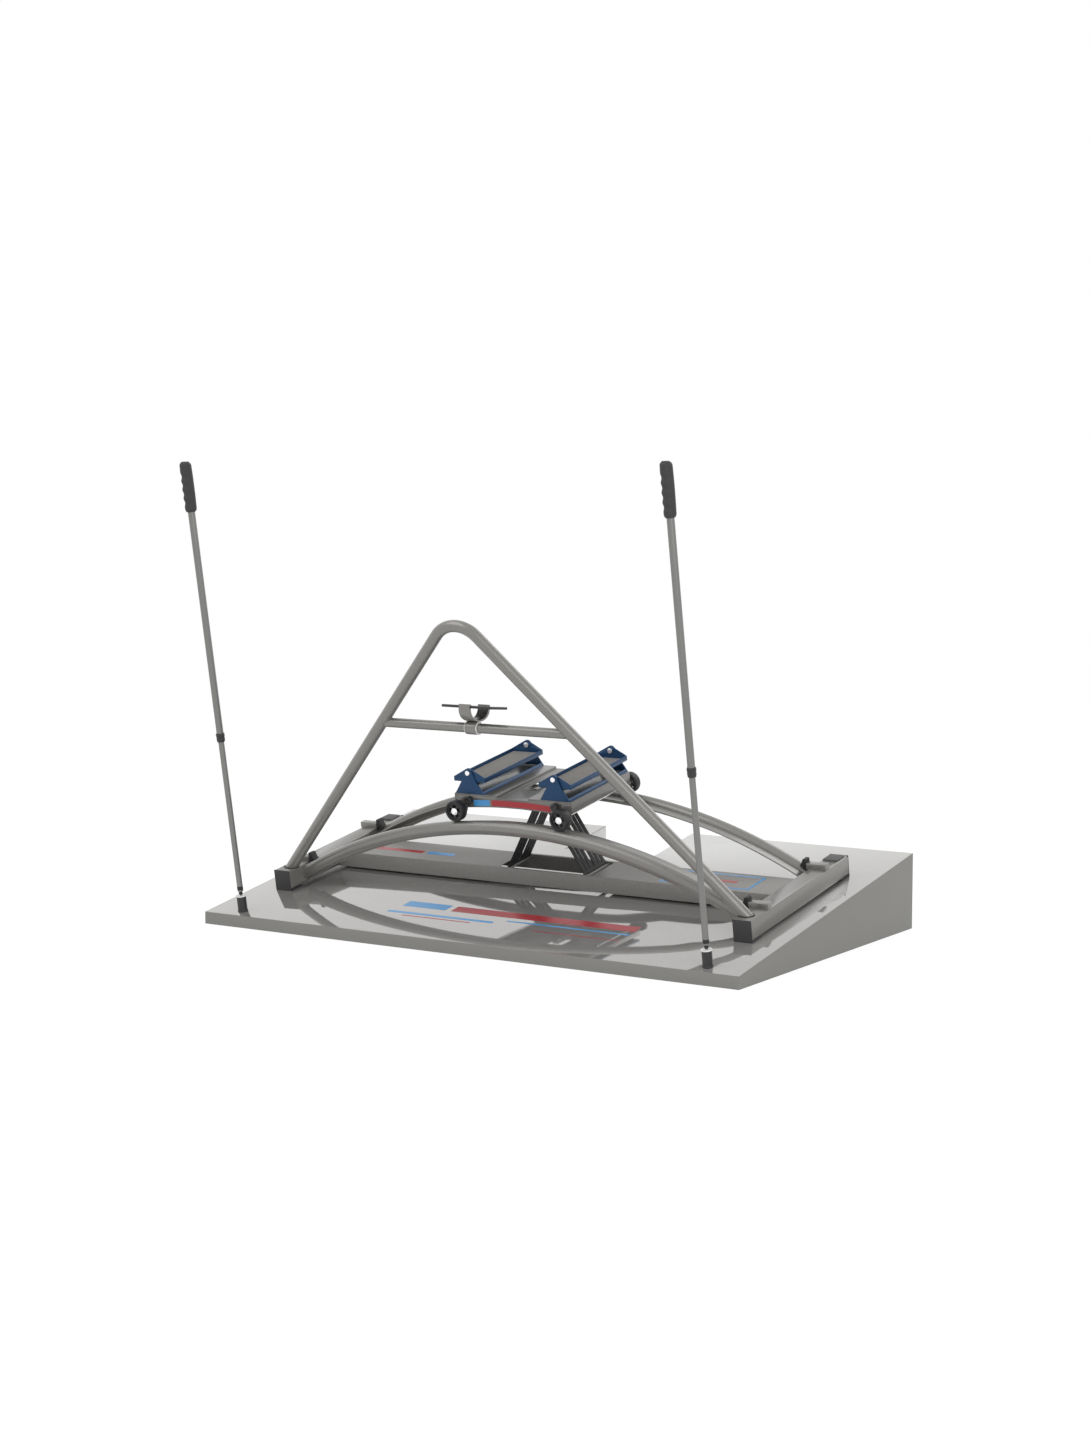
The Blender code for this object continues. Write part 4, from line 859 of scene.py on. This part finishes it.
def make_handrail():
    slope, bend = railing_path()
    below, leg_steps = 0.012, 12
    (x0, z0), (x1, z1) = (RAILING_FOOT_X + slope * below, -below), bend[0]
    leg = [(x0 + (x1 - x0) * i / leg_steps, z0 + (z1 - z0) * i / leg_steps) for i in range(leg_steps)]
    path = leg + bend + [(-x, z) for x, z in reversed(leg)]
    mesh = tube([(x, 0, z) for x, z in path], RAILING_TUBE, 48)
    piece("bent_handrail", mesh, PAINT, "base", ("handrail",), ON_RAILING)

    reach = RAILING_FOOT_X - slope * CROSSBAR_HEIGHT
    steps, end_share = 24, 0.75
    inside = reach - RAILING_TUBE * end_share
    bar = [(-inside + 2 * inside * i / steps, 0, CROSSBAR_HEIGHT) for i in range(steps + 1)]
    piece("handrail_crossbar", tube(bar, CROSSBAR_TUBE, 40), PAINT, "base",
          ("crossbar",), ON_RAILING)
    lean = math.atan(slope)
    weld, seal_rise = CROSSBAR_TUBE + 0.0005, 0.0012
    seal = RAILING_TUBE + seal_rise
    foot = [(seal / math.cos(lean) * math.cos(a), seal / math.cos(RAILING_LEAN) * math.sin(a), seal_rise)
            for a in full_turn(64)]
    for side, name in SIDES:
        loop = []
        for a in full_turn(48):
            y, z = weld * math.cos(a), weld * math.sin(a)
            sunk = math.sqrt(RAILING_TUBE ** 2 - y ** 2) / math.cos(lean)
            loop.append((side * (reach - slope * z - sunk), y, CROSSBAR_HEIGHT + z))
        weld_piece(f"crossbar_weld_{name}", loop, 11, ON_RAILING)
        place = ON_SLOPE @ shifted(side * RAILING_FOOT_X, RAILING_DEPTH, MEMBER_TOP + GAP)
        ring = grown(SWEPT_TUBE, path_curve(foot, True), RUBBER, Tube_Radius=0.0018, Sides=10)
        piece(f"foot_seal_{name}", ring, RUBBER, "base", place=place, sharp=60)


def make_tablet_holder():
    bore = CROSSBAR_TUBE + GAP
    shell = bore + LINER_WALL
    flange, inside = LINER_FLANGE_RADIUS, CLAMP_WIDTH / 2 + GAP
    half = inside + LINER_FLANGE
    section = mirrored([(bore, half), (flange, half), (flange, inside), (shell, inside)]) + [(bore, half)]
    liner = lathe(section, 48, 0.0005, ring=True)
    liner.transform(turned(math.radians(90), "Y"))
    piece("white_liner_ring", liner, WHITE, "base", ("clamp_liner",), ON_TILT)
    cad_piece("tablet_arms", "tablet_clamp", PAINT, "tablet_holder", 0.0009, 3, 40, 45)
    width, depth, thick = TABLET
    top = TABLET_HEIGHT + thick
    slab = outline_mesh([rounded_rectangle((0, 0), width, depth, 0.012, 8)], TABLET_HEIGHT, top, 0.0022)
    piece("tablet_case", slab, MOULDED, "tablet_holder", ("tablet",), ON_TILT, sharp=50)
    screen = outline_mesh([rounded_rectangle((0, 0), width - 0.012, depth - 0.010, 0.008)], top, top + FILM)
    piece("tablet_screen", screen, GLASS, "tablet_holder", (), ON_TILT)


# Carriage

def make_carriage():
    cad_piece("folded_deck", "carriage_deck", SHEET_PAINT, "carriage", 0.0010)
    for _, end in ENDS:
        cad_piece(f"end_plate_{end}", f"carriage_apron_{end}", SHEET_PAINT, "carriage",
                  0.0007, angle=50)
    face, under, reach, steps = -HALF_LENGTH - GAP, 0.0255, 0.011, 24
    for name, low, high, material in (("blue", -0.165, -0.098, FILM_BLUE), ("red", -0.089, 0.158, FILM_RED)):
        rings = []
        for x in (low + (high - low) * i / steps for i in range(steps + 1)):
            centre = math.sqrt(DECK_Z ** 2 - x ** 2) - under
            rings.append([(x, face, centre + reach), (x, face, centre - reach),
                          (x, face + FILM, centre - reach), (x, face + FILM, centre + reach)])
        piece(f"apron_stripe_{name}", loft(rings), material, "carriage", place=ON_CARRIAGE)
    tie_x, tie_z = WHEEL_HALF_BASE + TIE_OFFSET[0], AXLE_Z + TIE_OFFSET[1]
    head = HALF_LENGTH + GAP
    top, wide, dish = head + TIE_HEAD, TIE_HEAD_RADIUS, 0.0015
    half = [(0, top - dish), (0.0055, top - dish), (0.0065, top), (wide, top), (wide, head),
            (TIE_RADIUS, head)]
    rod = lathe(mirrored(rounded_profile(half, 0.0010)), 40)
    for side, name in SIDES:
        piece(f"tie_plug_{name}", rod.copy(), MOULDED, "carriage", (f"tie_rod_{name}",),
              ON_CARRIAGE @ shifted(side * tie_x, 0, tie_z) @ LYING)


def hex_head(radius, low, high):
    """A six-sided nut with a narrowed top."""
    rings = [[(0, 0, low)]]
    for scale, z in ((1.0, low), (1.0, high - 0.0008), (0.9, high)):
        ring = []
        for a in full_turn(48):
            flat = radius * math.cos(math.pi / 6) / math.cos((a % (math.pi / 3)) - math.pi / 6)
            ring.append((flat * scale * math.cos(a), flat * scale * math.sin(a), z))
        rings.append(ring)
    return loft(rings + [[(*point, high) for point in circle(0.5 * radius, 48)], [(0, 0, high)]])


def make_axles():
    wheel_in, wheel_out = RAIL_GAUGE / 2 - RIM_WIDTH / 2 - GAP, RAIL_GAUGE / 2 + RIM_WIDTH / 2 + GAP
    washer, end, collar = wheel_out + 0.0012, wheel_out + 0.006, HALF_LENGTH + GAP
    shank, head = AXLE_RADIUS, BOLT_HEAD_RADIUS
    half = [(0, end), (shank * 0.9, end), (shank * 0.9, washer), (head, washer), (head, wheel_out),
            (shank, wheel_out), (shank, wheel_in), (head, wheel_in), (head, collar), (shank, collar)]
    shaft = lathe(mirrored(rounded_profile(half, 0.0004)), 40)
    nut = hex_head(NUT_RADIUS, washer, wheel_out + 0.0056)
    other = nut.copy()
    other.transform(turned(math.pi))
    whole = joined([shaft, nut, other])
    for side, name in SIDES:
        piece(f"through_axle_{name}", whole.copy(), STEEL, "carriage",
              (f"axle_{name}",), ON_CARRIAGE @ shifted(side * WHEEL_HALF_BASE, 0, AXLE_Z) @ LYING)


def wheel_pieces():
    half, inner, outer = WHEEL_WIDTH / 2, WHEEL_RADIUS - TYRE_WALL, WHEEL_RADIUS
    tread = mirrored([(outer - 0.005, half), (outer - 0.0012, half - 0.0022), (outer, half - 0.006)])
    tread += mirrored([(inner + 0.002, -half), (inner, 0.001 - half)])
    rim, spokes, hub, wall = inner - GAP, 5, 0.0105, 0.0045
    pitch = 360 / spokes
    wide, narrow = pitch * 0.36, pitch * 0.2
    outlines = [circle(rim, 72), circle(AXLE_RADIUS + GAP, 24)]
    for i in range(spokes):
        middle = pitch * i + 90
        outlines.append(arc((0, 0), rim - wall, middle - wide, middle + wide, 10)
                        + arc((0, 0), hub, middle + narrow, middle - narrow, 5))
    return lathe(tread, 72, ring=True), outline_mesh(outlines, -RIM_WIDTH / 2, RIM_WIDTH / 2, 0.0007)


def make_wheels():
    tyre, face = wheel_pieces()
    for way, end in ENDS:
        for side, name in SIDES:
            place = ON_CARRIAGE @ shifted(side * WHEEL_HALF_BASE, way * RAIL_GAUGE / 2, AXLE_Z) @ LYING
            body = f"wheel_{end}_{name}"
            piece(f"wheel_tread_{end}_{name}", tyre.copy(), TYRE, body,
                  (f"tyre_{end}_{name}",), place)
            piece(f"spoked_rim_{end}_{name}", face.copy(), MOULDED, body,
                  (f"rim_{end}_{name}",), place, sharp=40)


# Footrests

def make_footrests():
    inner_face = HALF_LENGTH - BRACKET_THICKNESS
    floor = TRAY_SHEET - TRAY_DROP
    inside = inner_face - TRAY_SIDE_GAP - TRAY_END
    mat_x, mat_v, nut = MAT_HALF_WIDTH, inside - MAT_MARGIN, inside - GAP
    head, tall, out = PIVOT_HEAD_RADIUS, 0.006, HALF_LENGTH + GAP
    bolt = lathe([(0, out + tall), (head * 0.75, out + 0.0058), (head, out + 0.0035), (head, out),
                  (AXLE_RADIUS, out), (AXLE_RADIUS, nut), (head, nut), (head, nut - tall), (0, nut - tall)],
                 32, 0.0008)
    base, sheet_top, rib_half = floor + GAP, 0.0028, 0.0022
    for side, name in SIDES:
        body = f"footrest_{name}"
        cad_piece(f"bracket_frame_{name}", f"footrest_base_{name}", BLUE, "carriage", 0.0008,
                  angle=40)
        cad_piece(f"tilting_tray_{name}", f"footrest_tray_{name}", BLUE, body, 0.0008, angle=40)
        pivot = ON_CARRIAGE @ shifted(side * FOOTREST_X, 0, DECK_Z + GAP + PIVOT_HEIGHT)
        sheet = softened(box_mesh((-mat_x, -mat_v, base), (mat_x, mat_v, base + sheet_top)), 0.0006)
        rib = box_mesh((-mat_x + 0.002, -rib_half, floor + sheet_top),
                       (mat_x - 0.002, rib_half, base + MAT_THICKNESS))
        ribs = grown(EVEN_ROW, softened(rib, 0.0005), MAT, Count=MAT_RIBS, Step=(0, MAT_RIB_PITCH, 0))
        piece(f"ribbed_mat_{name}", joined([sheet, ribs]), MAT, body, (f"footrest_mat_{name}",),
              pivot)
        for way, end in ENDS:
            piece(f"round_bolt_{end}_{name}", bolt.copy(), STEEL, "carriage",
                  (f"pivot_bolt_{end}_{name}",), pivot @ turned(math.radians(-90 * way)))


# Ski poles

def grip_mesh():
    """A handle with finger grooves on one side, a wider top and a slanted crown."""
    rows, toward = 90, math.radians(-118)
    neck, crown, crown_span = 0.06, 0.93, 0.07
    first, span, grooves, depth = 0.10, 0.70, 4, 0.16
    rings = [[(0, 0, 0)]]
    for j in range(rows + 1):
        t = j / rows
        base = GRIP_RADIUS * (0.90 + 0.06 * math.sin(math.pi * t))
        if t < neck:
            base *= 0.80 + 0.20 * math.sin(t / neck * math.pi / 2)
        if t > crown:
            base *= math.cos((t - crown) / crown_span * math.radians(52))
        groove = 0.0
        if first < t < first + span:
            groove = 0.5 - 0.5 * math.cos((t - first) / span * grooves * 2 * math.pi)
        ring = []
        for a in full_turn(48):
            facing = max(0.0, math.cos(a - toward))
            r = base * (1 - depth * groove * facing ** 0.7)
            oval = 1 + 0.05 * math.cos(2 * (a - toward))
            slant = 0.10 * r * math.cos(a - toward) * max(0.0, t - 0.75) * 4
            ring.append((r * oval * math.cos(a), r * oval * math.sin(a), GRIP_LENGTH * t + slant))
        rings.append(ring)
    rings.append([(0, 0, GRIP_LENGTH + 0.0005)])
    return loft(rings)


def make_poles():
    ring_top = SOCKET_HEIGHT + RING_THICKNESS
    joint_z = ring_top + GAP + BALL_RADIUS
    low = BALL_RADIUS + GAP
    wide, foot_wide = SOCKET_RADIUS, SOCKET_RADIUS + 0.0015
    socket = lathe([(0, SOCKET_HEIGHT), (wide, SOCKET_HEIGHT), (wide, 0.006), (foot_wide, 0.004),
                    (foot_wide, GAP), (0, GAP)], 64, 0.0012)
    white = lathe([(0, ring_top), (RING_RADIUS, ring_top), (RING_RADIUS, SOCKET_HEIGHT), (0, SOCKET_HEIGHT)],
                  64, 0.0012)
    ball = lathe([(BALL_RADIUS * math.sin(math.pi * i / 20), BALL_RADIUS * math.cos(math.pi * i / 20))
                  for i in range(21)], 40)
    shaft, long = LOWER_SHAFT_RADIUS, LOWER_SHAFT_LENGTH
    lower = lathe([(0, long), (shaft, long), (shaft, 0.022), (shaft, 0), (0, 0)], 48, 0.001)
    skin = shaft + 0.0002
    tip = lathe([(0, 0.020), (skin, 0.020), (skin, 0.006), (0.0075, 0.0002), (0, 0.0002)], 40, 0.001)
    bore, outer, long = shaft + GAP, UPPER_SHAFT_RADIUS, UPPER_SHAFT_LENGTH
    upper = lathe([(bore, 0), (outer, 0), (outer, long), (bore, long), (bore, 0)], 48, 0.0003)
    bore, outer, tall = UPPER_SHAFT_RADIUS + GAP, COLLAR_RADIUS, COLLAR_HEIGHT
    waist = outer - 0.0009
    collar = lathe([(bore, tall), (outer - 0.001, tall), (outer, tall - 0.002), (outer, tall * 0.62),
                    (waist, tall * 0.58), (waist, tall * 0.42), (outer, tall * 0.38), (bore + 0.001, 0),
                    (bore, 0), (bore, tall)], 48, 0.0004)
    grip = grip_mesh()
    for side, name in SIDES:
        foot = ON_SLOPE @ shifted(side * MEMBER_CENTRE_X, POLE_START, 0)
        joint = ON_SLOPE @ shifted(side * MEMBER_CENTRE_X, POLE_START, joint_z)
        stand = joint @ shifted(0, 0, low)
        slider = joint @ shifted(0, 0, low + UPPER_SHAFT_START)
        top = slider @ shifted(0, 0, UPPER_SHAFT_LENGTH - GRIP_OVER_SHAFT)
        under, above = f"pole_lower_{name}", f"pole_upper_{name}"
        for start, mesh, material, body, slot, node, place, sharp in (
                ("socket_cup", socket, MOULDED, "base", "black_plastic", "pole_socket", foot, 35),
                ("socket_ring", white, WHITE, "base", "white_plastic", None, foot, 35),
                ("joint_ball", ball, RUBBER, f"pole_ball_{name}", "black_rubber", "pole_ball", joint, 35),
                ("lower_tube", lower, POLE, under, "pole_grey", "pole_lower_shaft", stand, 35),
                ("rubber_tip", tip, RUBBER, under, "black_rubber", None, stand, 35),
                ("upper_tube", upper, POLE, above, "pole_grey", "pole_upper_shaft", slider, 35),
                ("clamp_collar", collar, MOULDED, above, "black_plastic", "pole_lock_collar", slider, 35),
                ("finger_grip", grip, GRIP, above, "black_plastic", "pole_grip", top, 60)):
            replaced = (f"{node}_{name}",) if node else ()
            piece(f"{start}_{name}", mesh.copy(), material, body, replaced, place, sharp)


# Stage, light and camera

def seen_rays(tree):
    """The light path's outputs, and 1 for what the camera or a reflection sees, else 0."""
    rays = add_node(tree, "ShaderNodeLightPath").outputs
    return rays, math_node(tree, "MAXIMUM", rays["Is Camera Ray"], rays["Is Glossy Ray"])


def make_stage():
    """A pale floor that glows where the camera or a reflection sees it."""
    floor = loose("pale_floor", box_mesh((-14, -14, -0.02), (14, 14, -0.0002)))
    made = bpy.data.materials.new("pale_floor")
    made.use_nodes = True
    tree = made.node_tree
    shader = tree.nodes["Principled BSDF"]
    set_inputs(tree, shader, {"Base Color": (0.9, 0.9, 0.9, 1), "Roughness": 0.7})
    light = add_node(tree, "ShaderNodeEmission", {"Color": (1, 1, 1, 1), "Strength": FLOOR_GLOW})
    share = math_node(tree, "MULTIPLY", seen_rays(tree)[1], FLOOR_GLOW_SHARE)
    mix = add_node(tree, "ShaderNodeMixShader", {0: share, 1: shader.outputs[0], 2: light.outputs[0]})
    set_inputs(tree, tree.nodes["Material Output"], {"Surface": mix.outputs[0]})
    floor.data.materials.append(made)


def make_world():
    """White all round, brighter where it is seen than where it lights."""
    world = bpy.data.worlds.new("plain_studio")
    world.use_nodes = True
    bpy.context.scene.world = world
    tree = world.node_tree
    rays, seen = seen_rays(tree)
    seen = math_node(tree, "MAXIMUM", seen, rays["Is Transmission Ray"])
    strength = math_node(tree, "ADD", math_node(tree, "MULTIPLY", seen, WORLD_SEEN), WORLD_LIGHT)
    set_inputs(tree, tree.nodes["Background"], {"Color": (1, 1, 1, 1), "Strength": strength})


def area_lamp(name, place, target, size, power):
    light = bpy.data.lights.new(name, "AREA")
    light.shape = "DISK"
    light.size = size
    light.energy = power
    obj = loose(name, light)
    obj.location = place
    obj.rotation_euler = (Vector(target) - Vector(place)).to_track_quat("-Z", "Y").to_euler()


def make_camera():
    camera = bpy.data.cameras.new("photo_camera")
    camera.lens = CAMERA_LENS
    camera.sensor_width = SENSOR_WIDTH
    obj = loose("photo_camera", camera)
    obj.location = CAMERA_PLACE
    obj.rotation_euler = (math.radians(90 - CAMERA_DOWN), 0, math.radians(CAMERA_TURN))
    bpy.context.scene.camera = obj


def make_light():
    area_lamp("key_lamp", (-2.5, -3.5, 5.5), (0, 0, 0.3), 5.0, 100)
    area_lamp("fill_lamp", (5.5, -4.0, 3.0), (0, 0, 0.4), 5.0, 100)
    area_lamp("back_lamp", (1.5, 5.0, 4.5), (0, 0, 0.4), 4.0, 60)
    make_world()


bpy.context.scene.view_settings.view_transform = "Standard"
make_camera()
make_stage()
make_light()
make_platform()
make_platform_stripes()
make_notch_painted_reflections()
make_members()
make_rails()
make_beam()
make_bands()
make_handrail()
make_tablet_holder()
make_carriage()
make_axles()
make_wheels()
make_footrests()
make_poles()
